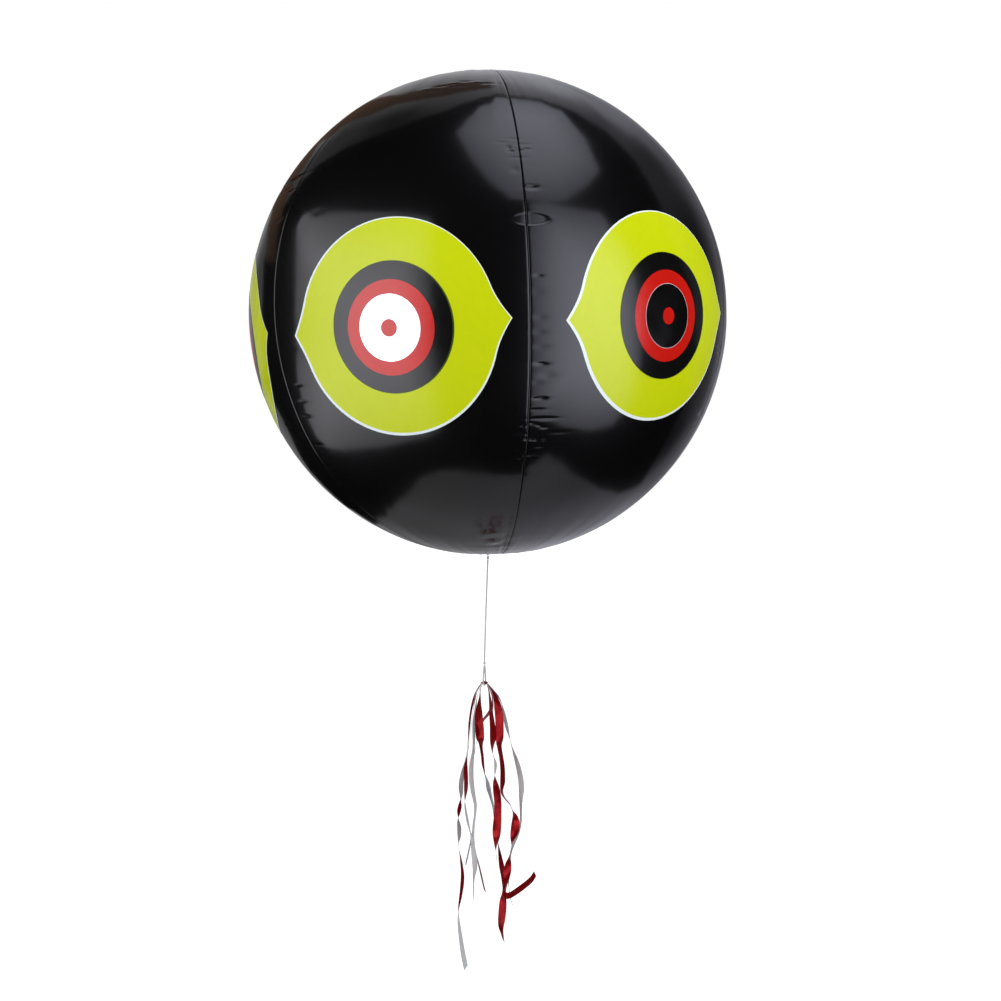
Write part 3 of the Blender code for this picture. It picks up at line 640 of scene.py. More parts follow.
# Creases where a weld holds the film back: distance from the weld in millimetres, latitude in
# degrees, then half width, half height and depth in millimetres
frontCreases = (
    (5.6, 21.5, 4.5, 1.7, 0.60), (-7.4, 31.0, 1.6, 2.2, 0.50), (-5.6, 30.0, 2.2, 0.8, 0.46),
    (1.6, 30.3, 3.0, 0.8, 0.46), (5.8, 30.7, 2.6, 0.8, 0.46), (3.6, 31.9, 5.0, 0.9, 0.26),
    (-10.5, 32.4, 4.0, 0.9, 0.24), (-3.0, 33.3, 6.0, 1.0, 0.22), (-1.0, 28.4, 6.0, 1.1, 0.22),
    (-4.5, 25.5, 3.0, 2.6, 0.26), (6.4, 3.7, 3.2, 1.1, 0.34), (7.0, -4.2, 4.5, 2.0, 0.20),
    (5.6, 0.6, 5.0, 2.4, 0.12), (6.4, -7.0, 5.2, 1.7, 0.22), (7.8, -9.8, 5.6, 1.6, 0.24),
    (8.3, -13.1, 4.6, 1.3, 0.66), (12.5, -15.4, 6.0, 2.6, 0.34), (8.7, -20.1, 4.6, 1.2, 0.70),
    (5.6, -16.8, 4.6, 1.5, 0.16), (7.0, -22.4, 5.6, 1.2, 0.22),
    (-59.4, 53.8, 3.4, 1.1, -0.30), (-46.6, 54.4, 3.0, 1.0, 0.34), (-37.1, 55.8, 3.4, 1.1, -0.30),
    (-28.5, 56.2, 2.6, 1.0, 0.34), (-20.5, 55.6, 3.0, 1.1, -0.36), (-13.0, 54.3, 2.6, 1.0, 0.34),
    (-8.6, 53.2, 2.6, 1.0, -0.30), (-53.0, 52.0, 5.0, 1.0, 0.20), (-33.0, 53.4, 5.0, 1.0, 0.20),
    (10.5, -24.3, 9.0, 1.1, 0.30), (3.4, -25.3, 2.6, 0.9, 0.34), (8.0, -25.8, 1.6, 0.8, 0.30),
    (11.6, -26.3, 2.4, 0.9, 0.24), (-4.6, -27.7, 6.0, 0.7, 0.32), (-0.5, -28.9, 2.6, 0.8, 0.34),
    (-2.6, -25.8, 2.4, 0.8, 0.34), (-6.5, -31.5, 4.0, 0.9, 0.22),
    (3.4, -29.0, 1.6, 0.8, 0.32), (6.6, -29.1, 1.8, 0.8, 0.32), (12.6, -29.2, 2.4, 0.8, 0.22),
    (-3.0, -30.6, 3.0, 0.8, 0.14), (9.0, -31.2, 4.0, 0.9, 0.16), (2.5, -33.2, 4.0, 1.2, 0.22),
    (-3.5, -33.8, 3.0, 1.0, 0.18), (21.0, -27.5, 7.0, 1.5, 0.12),
)
leftCreases = (
    (40.0, 19.8, 1.6, 4.0, 0.20), (28.0, 17.7, 1.8, 5.0, 0.30), (-30.0, 31.0, 22.0, 1.6, 1.60),
    (-24.0, 28.6, 9.0, 1.3, 0.50), (-12.0, 27.4, 6.0, 1.2, 0.40), (-14.0, 20.5, 7.0, 1.4, 0.40),
    (12.0, 6.0, 8.0, 2.4, 0.12), (15.0, -8.0, 9.0, 2.0, 0.14),
    (17.0, -15.6, 8.0, 1.5, 0.30), (15.5, -19.2, 9.0, 1.6, 0.36), (12.5, -22.6, 9.0, 1.5, 0.36),
    (-27.0, -24.5, 5.0, 1.0, 0.20), (-16.0, -26.2, 6.0, 1.0, 0.24), (-8.0, -28.5, 6.0, 1.1, 0.24),
    (8.0, -29.5, 6.0, 1.1, 0.22), (-14.0, -33.0, 7.0, 1.2, 0.24), (6.0, -35.5, 7.0, 1.2, 0.22),
    (-4.0, -39.0, 7.0, 1.3, 0.22), (12.0, -43.0, 8.0, 1.4, 0.20),
)


# The creases at the welds that the photograph doesn't show, drawn at random from these ranges
hiddenCreases = {
    "count": 20,
    "latitude": (2, 46, 27),
    "side": (-18, 18, 6),
    "wide": (3, 9),
    "high": (1.0, 2.0),
    "depth": (0.12, 0.40),
    "seed": 10,
}
creaseEnd = 2.5


def otherCreases(seed):
    chance = random.Random(seed)
    found = []
    for i in range(hiddenCreases["count"]):
        latitude = chance.choice((-1, 1)) * chance.triangular(*hiddenCreases["latitude"])
        side = chance.triangular(*hiddenCreases["side"])
        sizes = [chance.uniform(*hiddenCreases[label]) for label in ("wide", "high", "depth")]
        found.append((side, latitude, *sizes))
    return found


creases = [frontCreases, *(otherCreases(hiddenCreases["seed"] + n) for n in range(1, ball["panels"] - 1)),
           leftCreases]


def panelMiddle(number):
    return ball["firstSeam"] - pi / ball["panels"] + 2 * pi * number / ball["panels"]


def direction(azimuth, latitude):
    return Vector((sin(azimuth) * cos(latitude), -cos(azimuth) * cos(latitude), sin(latitude)))


def seamSide(azimuth):
    # The nearest seam's number, and how far round from it the place lies, in radians
    step = 2 * pi / ball["panels"]
    number = round((azimuth - ball["firstSeam"]) / step)
    return number % ball["panels"], azimuth - ball["firstSeam"] - number * step


def underValve(azimuth, latitude):
    # 1 where the valve's flange lies on the film, which is a true sphere there, and 0 away from it
    middle = direction(panelMiddle(valve["panel"]), valve["latitude"])
    away = direction(azimuth, latitude).angle(middle) * ball["radius"]
    return 1 - smoothStep((away - valve["flange"]) / valve["flange"])


def puckerDrop(number, across, along):
    seed = pucker["seamStep"] * number

    def layer(label, shift=0):
        size, place = pucker[label]
        return noise.noise((along / size, seed + shift, place))
    both = layer("wide") + pucker["fineShare"] * layer("fine")
    own = layer("own", pucker["sideStep"] if across > 0 else 0)
    least, gain, more = pucker["patchShares"]
    where = least + gain * max(0, layer("patch") + more)
    size = pucker["bothShare"] * both + pucker["ownShare"] * own
    return pucker["depth"] * where * size * exp(-abs(across) / pucker["reach"])


def patchPlace(patch, across, along):
    # The place in half widths and half heights from the patch's middle
    return ((across - patch["side"]) / patch["halfWidth"],
            (along - patch["latitude"] * ball["radius"]) / patch["halfHeight"])


def relief(azimuth, latitude):
    # How far the film lies inside a true sphere
    number, off = seamSide(azimuth)
    across = off * ball["radius"] * cos(latitude)
    along = latitude * ball["radius"]
    near = abs(across)
    share = abs(off) / (pi / ball["panels"])
    crown = smoothStep((abs(latitude) - ball["crownEdge"]) / (ball["crownEnd"] - ball["crownEdge"]))
    drop = ball["crownFlat"] * crown - ball["swell"] * (1 - crown) * (1 - underValve(azimuth, latitude))
    drop += ball["grooveDepth"] * exp(-near / ball["grooveWidth"])
    drop += ball["flatness"] * (1 - (1 - share) ** 2) * cos(latitude)
    if near < pucker["ends"] * pucker["reach"]:
        drop += puckerDrop(number, across, along)
    folds = smoothStep((abs(latitude) - fan["start"]) / fan["span"]) * (1 - crown)
    if folds:
        drop += fan["depth"] * folds * sum(
            noise.noise((level * cos(azimuth), level * sin(azimuth), up * latitude))
            for level, up in fan["rays"])
    wave = noise.noise(direction(azimuth, latitude) * (ball["radius"] / ball["waveSize"]))
    drop += ball["waveDepth"] * wave * (1 - crown)
    if number == 0:
        x, y = patchPlace(pocket, across, along)
        drop += pocket["depth"] * min(1, max(0, 1 + x)) * smoothStep((1 - x * x - y * y) / pocket["rim"])
        x, y = patchPlace(crumple, across, along)
        if x * x + y * y < crumple["end"]:
            drop += (crumple["depth"] * exp(-x * x - y * y)
                     * noise.noise((across / crumple["size"], along / crumple["size"], crumple["layer"])))
    for side, level, wide, high, depth in creases[number]:
        y = (along - radians(level) * ball["radius"]) / (high * millimetre)
        if abs(y) < creaseEnd:
            x = (across - side * millimetre) / (wide * millimetre)
            if abs(x) < creaseEnd:
                drop += depth * millimetre * exp(-x * x - y * y)
    return drop


ballPlace = Matrix.Translation(ball["centre"]) @ Matrix.Rotation(ball["lean"], 4, "Y")


def filmPoint(azimuth, latitude, lift):
    return ballPlace @ (direction(azimuth, latitude) * (ball["radius"] - relief(azimuth, latitude) + lift))


def panelMesh(number):
    middle = panelMiddle(number)
    last = acos(ball["tip"] / (ball["radius"] - ball["crownFlat"]))
    half = pi / ball["panels"]
    latitudes = [-last]
    while latitudes[-1] < last:
        fine = ball["fineRows"][0] < latitudes[-1] < ball["fineRows"][1]
        latitudes.append(latitudes[-1] + (ball["fineStep"] if fine else ball["rowStep"]) / ball["radius"])
    latitudes[-1] = last
    outer, inner = [], []
    for latitude in latitudes:
        level = ball["radius"] * cos(latitude)
        edge = half - ball["gap"] / 2 / level
        thin = ball["sheet"] / level
        left = [-edge * (1 - s) for s in seamShares]
        places = left + [0.0] + [-a for a in reversed(left)]
        radii = [ball["radius"] - relief(middle + a, latitude) for a in places]
        within = [max(-edge + thin, min(edge - thin, a)) for a in places]
        skin = [ballPlace @ (direction(middle + a, latitude) * r) for a, r in zip(places, radii)]
        back = [ballPlace @ (direction(middle + a, latitude) * (r - ball["sheet"]))
                for a, r in zip(within, radii)]
        ends = [ballPlace @ (direction(middle + a, latitude) * (radii[0] - ball["fin"]))
                for a in (-edge, -edge + thin, edge - thin, edge)]
        outer.append([ends[0]] + skin + [ends[3]])
        inner.append([ends[1]] + back + [ends[2]])
    points, faces = [], []
    addSkins(points, faces, outer, inner, False)
    return meshFrom(f"panel{number + 1}", points, faces, [blackVinyl], smoothAngle=ball["smoothAngle"])


def facing(azimuth, latitude, roll=0.0):
    # Turns a piece made facing -Y to look out of the ball at that place
    return (Matrix.Rotation(azimuth, 4, "Z") @ Matrix.Rotation(-latitude, 4, "X")
            @ Matrix.Rotation(-roll, 4, "Y"))


def cutValveHole(piece):
    cutter = bpy.data.objects.new("holeCutter", bpy.data.meshes.new("holeCutter"))
    bm = bmesh.new()
    bmesh.ops.create_cone(bm, cap_ends=True, segments=valve["holeSides"], radius1=valve["hole"],
                          radius2=valve["hole"], depth=valve["holeDepth"])
    bm.to_mesh(cutter.data)
    bm.free()
    cutter.matrix_world = (ballPlace @ facing(panelMiddle(valve["panel"]), valve["latitude"])
                           @ Matrix.Rotation(pi / 2, 4, "X") @ Matrix.Translation((0, 0, ball["radius"])))
    bpy.context.scene.collection.objects.link(cutter)
    cut = piece.modifiers.new("hole", "BOOLEAN")
    cut.object = cutter
    cut.solver = "EXACT"
    bpy.context.view_layer.update()
    done = bpy.data.meshes.new_from_object(piece.evaluated_get(bpy.context.evaluated_depsgraph_get()))
    piece.modifiers.clear()
    piece.data = done
    bpy.data.objects.remove(cutter)


def makeBall():
    for number in range(ball["panels"]):
        piece = addPiece(f"panel{number + 1}", panelMesh(number), "ball", "black_pvc", f"gore_{number + 1}")
        if number == valve["panel"]:
            cutValveHole(piece)


makeBall()
print("ball made")

# Eyes: five films of print on each panel, with a white underprint that shows round the lime
eye = {
    "azimuth": radians(-19.4),
    "latitude": radians(-5.3),
    "roll": radians(1.45),
    "shifts": {1: (radians(-0.2), radians(1.9), radians(2.6)), 5: (radians(-0.9), radians(0.3), 0.0)},
    "dot": 0.0060,
    "mirror": 0.0228,
    "rimLine": 0.0002,
    "red": 0.0325,
    "black": 0.0449,
    "lime": 0.0750,
    "point": 0.0092,
    "flareAngle": radians(19),
    "flarePower": 2.2,
    "border": 0.0015,
    "borderShift": 0.0009,
    "borderWay": radians(225),
    "overprint": 0.0008,
    "overprintWay": radians(-8),
    "overlap": 0.0006,
    "film": 0.00005,
    "lift": 0.00010,
    "layer": 0.00006,
    "under": 0.004,
    "points": 96,
    "finePoints": 144,
    "dotPoints": 48,
    "crowding": 0.25,
    "weld": 0.000001,
    "smoothAngle": 60,
}


def limeEdge(angle):
    offTip = min(abs(angle % (2 * pi) - tip) for tip in (0, pi, 2 * pi))
    return eye["lime"] + eye["point"] * max(0, 1 - offTip / eye["flareAngle"]) ** eye["flarePower"]


def whiteEdge(angle):
    return limeEdge(angle) + eye["border"] + eye["borderShift"] * cos(angle - eye["borderWay"])


def overprintEdge(angle):
    return eye["black"] + eye["overlap"] / 2 + eye["overprint"] * max(0, cos(angle - eye["overprintWay"]))


def printSkins(points, faces, marks, turn, mark, inside, outside, spans, angles, level):
    # One ring of print between two edges, each a radius or a function of the angle
    def reach(edge, angle):
        return edge(angle) if callable(edge) else edge
    skins = []
    for lift in (eye["lift"] + eye["layer"] * level + eye["film"], eye["lift"] + eye["layer"] * level):
        grid = []
        for i in range(spans + 1):
            row = []
            for angle in angles:
                low, high = reach(inside, angle), reach(outside, angle)
                arc = (low + (high - low) * i / spans) / ball["radius"]
                away = turn @ Vector((sin(arc) * cos(angle), -cos(arc), sin(arc) * sin(angle)))
                azimuth, latitude = atan2(away.x, -away.y), asin(away.z)
                row.append(filmPoint(azimuth, latitude, lift))
            grid.append(row)
        skins.append(grid)
    before = len(faces)
    addSkins(points, faces, *skins, True)
    marks.extend([mark] * (len(faces) - before))


def makeEye(number):
    aside, up, roll = eye["shifts"].get(number, (0, 0, 0))
    turn = facing(eye["azimuth"] + aside + 2 * pi * number / ball["panels"],
                  eye["latitude"] + up, eye["roll"] + roll).to_3x3()
    name = f"eye{number + 1}"
    node = f"eye_{number + 1}_"
    even = turnSteps(eye["points"])
    tight = [a - eye["crowding"] * sin(2 * a) for a in turnSteps(eye["finePoints"])]
    over = eye["overlap"]
    # Each ring: ink, inside edge, outside edge, rows across, angles, layer
    layers = (
        ("Lime", "lime_print", "lime_ink", [limeInk, whiteInk, overprintInk],
         ((1, lambda a: limeEdge(a) - eye["under"], whiteEdge, 3, tight, 0),
          (0, eye["black"] - over, limeEdge, 9, tight, 1),
          (2, eye["black"] - over, overprintEdge, 1, even, 2))),
        ("Black", "black_ring", "black_ink", [blackInk],
         ((0, eye["red"] - over, eye["black"], 4, even, 3),)),
        ("Red", "red_ring", "red_ink", [redInk],
         ((0, eye["mirror"] - over, eye["red"], 4, even, 4),)),
        ("Mirror", "mirror_disc", "mirror_film", [mirrorFilm, whiteInk],
         ((0, eye["dot"] - over, eye["mirror"] - eye["rimLine"], 6, even, 5),
          (1, eye["mirror"] - eye["rimLine"], eye["mirror"], 1, even, 5))),
        ("Dot", "red_dot", "red_ink", [redInk],
         ((0, 0.0, eye["dot"], 3, turnSteps(eye["dotPoints"]), 6),)),
    )
    for label, cadName, slot, inks, rings in layers:
        points, faces, marks = [], [], []
        for ring in rings:
            printSkins(points, faces, marks, turn, *ring)
        weld = eye["weld"] if label == "Dot" else 0
        mesh = meshFrom(name + label, points, faces, inks, marks, eye["smoothAngle"], weld)
        addPiece(name + label, mesh, "ball", slot, node + cadName)


for number in range(ball["panels"]):
    makeEye(number)
print("eyes made")

# Tassel: four foil strips, each folded over the loop, so that eight tails hang down
tassel = {
    "fold": string["loopBottom"],
    "foldRise": 0.00153,
    "foldReach": 0.00221,
    "foldStep": 0.0006,
    "pinch": 0.0022,
    "width": 0.0080,
    "spread": 0.024,
    "thickness": 0.00014,
    "camber": 0.0007,
    "camberSize": 0.030,
    "camberPlace": (5.1, 0.7),
    "ripple": 0.00010,
    "rippleSize": 0.0045,
    "ripplePlace": (1.3, 7.7),
    "smoothAngle": 50,
    "rowSteps": 5,
    "columns": 5,
}

# Each tail's rows as picked in the photograph, from the fold down: pixel across and down, depth
# behind the string in millimetres, then the turn of its red face in half turns
leftInnerTail = (
    (480.3, 690.5, 0, 0.46), (480, 698, 0, 0.40), (479.2, 707, 0, 0.28), (478.8, 717, 0, 0.14),
    (479.6, 728, 0, 0.07), (480, 737, 0, 0.10), (480.6, 744, 0, 0.34), (482.2, 755, 0, 0.38),
    (483.2, 766, 0, 0.40), (485, 775, 1, 0.47), (488, 786, 3, 0.63), (491, 797, 4, 0.57),
    (493.5, 808, 4.5, 0.55), (495.6, 825, 5, 0.56), (498, 842, 5.2, 0.47), (500, 855, 2.5, 0.36),
    (502, 868, 2, 0.28), (504, 882, 1.5, 0.32), (504, 893, 1, 0.38), (503, 903, 0, 0.20),
    (502, 915, 0, 0.18), (500.8, 927, 0, 0.30), (502.2, 935, 0, 0.38), (503.6, 941, 0, 0.42),
)
rightInnerTail = (
    (488.8, 690.5, 0, 0.44), (489.7, 697, -2, 0.40), (490.7, 706, -3, 0.37), (491.3, 715, -4.5, 0.36),
    (492.6, 727, -6.5, 0.30), (493.2, 737, -7, 0.24), (492.6, 746, -7, 0.38), (493.2, 754, -6.5, 0.52),
    (495.6, 763, -5, 0.60), (494.6, 774, -5, 0.52), (494.6, 781, -5, 0.38), (496.4, 790, -4.5, 0.24),
    (497.8, 802, -3.5, 0.20), (497.6, 816, -3.5, 0.16), (496.8, 830, -3.5, 0.08), (496.4, 841, -5, 0.30),
    (496.2, 849, -5, 0.47), (496.3, 858, -4, 0.53),
)
leftThirdTail = (
    (479, 690.5, 0, 0.51), (477, 698, 0.5, 0.54), (475.4, 709, 4.5, 0.56), (474, 722, 5.5, 0.61),
    (473.8, 735, 3.5, 0.59), (473.6, 748, 0.5, 0.58), (471.4, 765, 0, 0.66), (471.6, 782, 0, 0.65),
    (474, 797, 0, 0.60), (475.8, 808, 0, 0.57), (473.8, 824, 1.2, 0.59), (473.6, 838, 2.2, 0.55),
    (476, 852, 2.2, 0.46), (479.6, 868, 2, 0.41), (484.8, 891, 2, 0.41),
)
rightCrossingTail = (
    (490.3, 690.4, 0, 0.48), (492.2, 697, 3.8, 0.46), (492.2, 704, 6.8, 0.42), (490.6, 710.5, 7, 0.34),
    (486.6, 716, 7, 0.34), (482.6, 721, 7, 0.36), (479.6, 730, 8, 0.44), (476.4, 744, 9, 0.48),
    (473.6, 760, 9, 0.50), (472.4, 785, 9, 0.50), (474.4, 806, 10.5, 0.50), (472.6, 830, 11.5, 0.52),
    (470, 845, 8, 0.53), (467.6, 856, 7, 0.53), (465.8, 864, 7, 0.52),
)
leftSecondTail = (
    (477.6, 690.5, 0, 0.50), (475.2, 699, -0.5, 0.48), (473, 712, -3, 0.50), (470.8, 728, -3.5, 0.50),
    (469, 744, -4.5, 0.50), (467, 758, -4.5, 0.47), (465.8, 770, -4.5, 0.34), (466, 785, -4.5, 0.34),
    (465, 797, -4.5, 0.44), (464.8, 804, -4.5, 0.52), (467.4, 820, -4.5, 0.55), (470.3, 832, -6.5, 0.50),
    (472, 842, -6.8, 0.58), (474.2, 856, -6.8, 0.68), (475, 868, -6, 0.67), (473.7, 882, -6, 0.55),
    (473.6, 897, -6, 0.53), (471.3, 909, -6, 0.53),
)
rightThirdTail = (
    (491.9, 690.4, 0, 0.44), (494.8, 696, -0.5, 0.32), (497.2, 704, -0.8, 0.22), (499, 715, 0.8, 0.14),
    (499.6, 727, 1.2, 0.12), (499.6, 738, 2, 0.16), (499.6, 747, 3, 0.34), (501.2, 757, 4, 0.36),
    (502.6, 770, 4.5, 0.33), (502.6, 783, 4.5, 0.31), (502, 792, 4.5, 0.42), (504.6, 798, 3, 0.52),
    (510, 804.5, 1, 0.54), (513, 812, -0.5, 0.50), (515.2, 819, -1.5, 0.24), (515.2, 828, -2, 0.05),
    (513.4, 837, -2, 0.24), (511.8, 845, -3, 0.46), (509.8, 855, -5, 0.44), (508.4, 863, -7, 0.26),
    (507.4, 871, -8, 0.16), (506.6, 880, -8.5, 0.28), (504.8, 889, -8.5, 0.36), (505.2, 895, -8.5, 0.40),
    (509.6, 895.4, -8.5, 0.42), (516, 891.6, -8.5, 0.41), (524, 885.8, -8.5, 0.41),
    (531, 879.8, -8.5, 0.41), (535.2, 873.6, -8.5, 0.42),
)
leftOuterTail = (
    (476.6, 690.5, 0, 0.48), (474, 698, 0.5, 0.43), (471.2, 710, 1.5, 0.44), (469.3, 725, 3, 0.43),
    (468, 742, 4, 0.48), (465.8, 758, 4, 0.53), (462.5, 772, 4, 0.62), (461, 785, 4, 0.66),
    (461.5, 796, 4, 0.58), (460.5, 804, 4, 0.40), (458.6, 812, 4, 0.38), (457.8, 819, 4, 0.52),
    (459.3, 830, 4, 0.64), (459.2, 840, 4, 0.58), (458.6, 846, 4, 0.48), (461, 860, 3, 0.40),
    (462.6, 876, 2, 0.36), (461, 893, 1, 0.40), (458.5, 908, 0, 0.47), (458.3, 918, 0, 0.54),
    (460.3, 935, 0, 0.60), (463, 953, 0, 0.63), (466, 968, 0, 0.63),
)
rightOuterTail = (
    (494.6, 691.6, 0, 0.50), (499.8, 699, 3.5, 0.50), (503, 708, 6, 0.56), (504.8, 718, 6, 0.64),
    (507, 728, 6, 0.63), (509.2, 737, 5.5, 0.55), (511, 744, 5, 0.52), (513.8, 752, 5, 0.60),
    (517.2, 763, 5, 0.68), (520.2, 776, 5, 0.71), (521.4, 788, 5, 0.70), (520.8, 799, 5, 0.62),
    (520.8, 812, 5, 0.57), (520.6, 821, 5, 0.56), (518.4, 832, 5, 0.55), (514, 843, 5, 0.53),
    (511, 852, 4.5, 0.53), (509.4, 866, 5, 0.54), (508.6, 882, 5, 0.53), (510, 896, 5, 0.53),
    (512.4, 904, 5, 0.54),
)


def tailRows(tail, side, nest):
    reach = tassel["foldReach"] + tassel["foldStep"] * nest
    rise = tassel["foldRise"] + tassel["foldStep"] * nest
    arch = [(side * reach * sin(a), 0, rise * cos(a), 0.5) for a in (pi / 4, pi / 2)]
    return arch + [(*(seenAt(x, y, depth * millimetre) - tassel["fold"]), turn)
                   for x, y, depth, turn in tail]


def makeStrip(number, leftTail, rightTail):
    left = tailRows(leftTail, -1, number)[::-1]
    rows = left + [(0, 0, tassel["foldRise"] + tassel["foldStep"] * number, 0.5)]
    rows += tailRows(rightTail, 1, number)
    steps = tassel["rowSteps"]
    middle = len(left) * steps
    path = [curveAt(rows, i / steps) for i in range(steps * (len(rows) - 1) + 1)]
    runs = [0]
    for a, b in zip(path, path[1:]):
        runs.append(runs[-1] + (Vector(b[:3]) - Vector(a[:3])).length)
    red, silver = [], []
    for i, row in enumerate(path):
        before, after = path[max(i - 1, 0)], path[min(i + 1, len(path) - 1)]
        along = (Vector(after[:3]) - Vector(before[:3])).normalized()
        sideways = Vector((0, -1, 0)).cross(along).normalized()
        deep = sideways.cross(along)
        angle = pi * row[3]
        across = sideways * cos(angle) + deep * sin(angle)
        face = along.cross(across).normalized()
        away = abs(runs[i] - runs[middle]) - tassel["foldReach"]
        spread = min(max(away / tassel["spread"], 0), 1)
        width = tassel["pinch"] + (tassel["width"] - tassel["pinch"]) * spread
        place = tassel["fold"] + Vector(row[:3])
        step, layer = tassel["camberPlace"]
        bow = tassel["camber"] * spread * noise.noise((runs[i] / tassel["camberSize"], step * number, layer))
        wide, step = tassel["ripplePlace"]
        skins = ([], [])
        for j in range(tassel["columns"]):
            u = -1 + 2 * j / (tassel["columns"] - 1)
            ripple = tassel["ripple"] * spread * noise.noise(
                (runs[i] / tassel["rippleSize"], u * wide, step * number))
            spot = place + across * (u * width / 2) + face * (bow * (1 - u * u) + ripple)
            for skin, sign in zip(skins, (1, -1)):
                skin.append(spot + face * (sign * tassel["thickness"] / 2))
        red.append(skins[0])
        silver.append(skins[1])
    points, faces = [], []
    addSkins(points, faces, red, silver, False)
    inner = len(red) * tassel["columns"]
    marks = [int(min(face) >= inner) for face in faces]
    name = f"foilStrip{number + 1}"
    mesh = meshFrom(name, points, faces, [redFoil, silverFoil], marks, tassel["smoothAngle"])
    addPiece(name, mesh, "tassel", "red_foil", f"foil_strip_{number + 1}")


for number, tails in enumerate(((leftInnerTail, rightInnerTail), (leftThirdTail, rightCrossingTail),
                                (leftSecondTail, rightThirdTail), (leftOuterTail, rightOuterTail))):
    makeStrip(number, *tails)
print("tassel made")

# Small moulded pieces: the CAD solids with the ball's own finishes
fittings = (
    (smokeVinyl, ("hang_tab", "top_patch", "bottom_patch", "string_eye")),
    (valveVinyl, ("valve_flange", "valve_stem", "valve_plug", "valve_strap", "valve_flap")),
)
for material, nodes in fittings:
    for node in nodes:
        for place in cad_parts[node].material_slots:
            place.material = material
print("fittings finished")

# Studio: a white sweep, soft lamps, and panels that are there for the reflections only
studio = {
    "ambient": 0.50,
    "floor": -1.75,
    "floorGlow": 0.75,
    "panelDistance": 1.7,
    "leftGlow": (0.82, 2.5),
    "rightGlow": (0.82, 2.8),
    "topGlow": (0.8, 1.65),
    "leftTint": (1.0, 1.0, 1.08),
    "rightTint": (0.97, 0.98, 1.15),
    "sweepDistance": 2.4,
    "sweepMiddle": (175, -8),
    "sweepTint": (0.04, 0.10),
    "leftMiddle": (388, 326),
    "doorDistance": 2.2,
    "doorGlow": (0.105, 0.062, 0.042),
    "roomGlow": 0.003,
    "roomRadius": 4,
    "roomSides": (48, 24),
    "rings": 10,
    "rimShares": (0, 0.33, 0.67),
    "boxFade": (3, 1.5),
    "sweepBlend": (0.06, 4),
    "sweepCool": (0.4, 2),
    "floorReach": 12.0,
    "floorColour": (0.86, 0.86, 0.86),
    "floorRoughness": 0.9,
}
# Azimuth, elevation, distance, size and power
lamps = {
    "keyLamp": (-50, 8, 1.6, 1.1, 10.5),
    "fillLamp": (48, 5, 1.6, 1.0, 11.5),
    "topLamp": (60, 72, 1.6, 1.0, 12.0),
}
# The sweep's brightness by direction: azimuth, elevation, glow
sweepLight = ((180, 40, 0.62), (166, 50, 0.72), (160, 34, 0.27), (148, 46, 0.44), (135, 53, 0.20),
              (150, 29, 0.16), (130, 40, 0.06), (148, 12, 0.16), (124, 22, 0.03), (148, -3, 0.34),
              (146, -20, 0.19), (126, -24, 0.03), (134, -10, 0.10), (157, -34, 0.42), (136, -58, 0.42),
              (108, -58, 0.30), (172, -31, 0.56), (180, -72, 0.41), (-172, -36, 0.30), (-158, -44, 0.22),
              (-120, -66, 0.37), (-30, -74, 0.38), (60, -68, 0.46), (-148, 8, 0.40), (-140, 10, 0.12),
              (-152, -9, 0.22), (-163, 40, 0.42), (-150, 60, 0.28), (-128, 60, 0.04), (-140, 40, 0.08))
# Outlines of what the ball reflects in the photograph, in its pixels
reflections = {
    "leftSoftbox": ((299, 226), (306, 215), (340, 213), (400, 213), (430, 218), (430, 290), (433, 350),
                    (436, 380), (440, 428), (426, 437), (385, 446), (340, 449), (328, 447), (318, 437),
                    (308, 415), (299, 380), (297, 300)),
    "rightSoftbox": ((532, 203), (548, 202), (572, 208), (602, 213), (625, 250), (637, 280), (641, 330),
                     (640, 370), (629, 406), (612, 425), (590, 430), (566, 427), (548, 419), (532, 418),
                     (534, 360), (532, 300), (529, 240)),
    "topSoftbox": ((456, 134), (478, 108), (500, 98), (535, 102), (562, 112), (586, 140), (600, 172),
                   (588, 186), (566, 201), (546, 201), (510, 199), (490, 183), (470, 160)),
    "sweep": ((500, 94), (540, 100), (575, 112), (606, 132), (636, 162), (658, 200), (673, 245),
              (692, 290), (695, 350), (686, 400), (666, 440), (650, 468), (640, 484),
              (620, 493), (598, 487), (574, 473), (560, 461), (548, 454), (534, 463), (526, 477),
              (498, 475), (460, 470), (440, 470), (422, 476), (400, 500), (376, 524), (340, 502),
              (305, 465), (286, 425), (265, 385), (262, 320), (264, 262), (274, 222), (292, 193),
              (318, 166), (346, 148), (386, 132), (420, 119), (453, 108), (480, 98)),
    "door": ((276, 262), (277, 235), (284, 205), (297, 178), (320, 144), (350, 123), (400, 104),
             (440, 97), (462, 93), (478, 90), (497, 88), (498, 83), (488, 85), (480, 82), (466, 83),
             (458, 82), (450, 86), (441, 85), (430, 90), (420, 90), (400, 95), (388, 96), (366, 103),
             (352, 109), (340, 119), (326, 130),
             (309, 149), (290, 174), (275, 202), (268, 228), (266, 262)),
}


def reflected(x, y):
    # Where a ray through that pixel of the photograph meets the ball, and its way on from there
    ray = throughPixel(x, y)
    start = view["place"] - ball["centre"]
    along = start.dot(ray)
    run = -along - sqrt(max(0, along * along - start.length_squared + ball["radius"] ** 2))
    place = start + ray * run
    normal = place.normalized()
    return place + ball["centre"], (ray - normal * (2 * ray.dot(normal))).normalized()


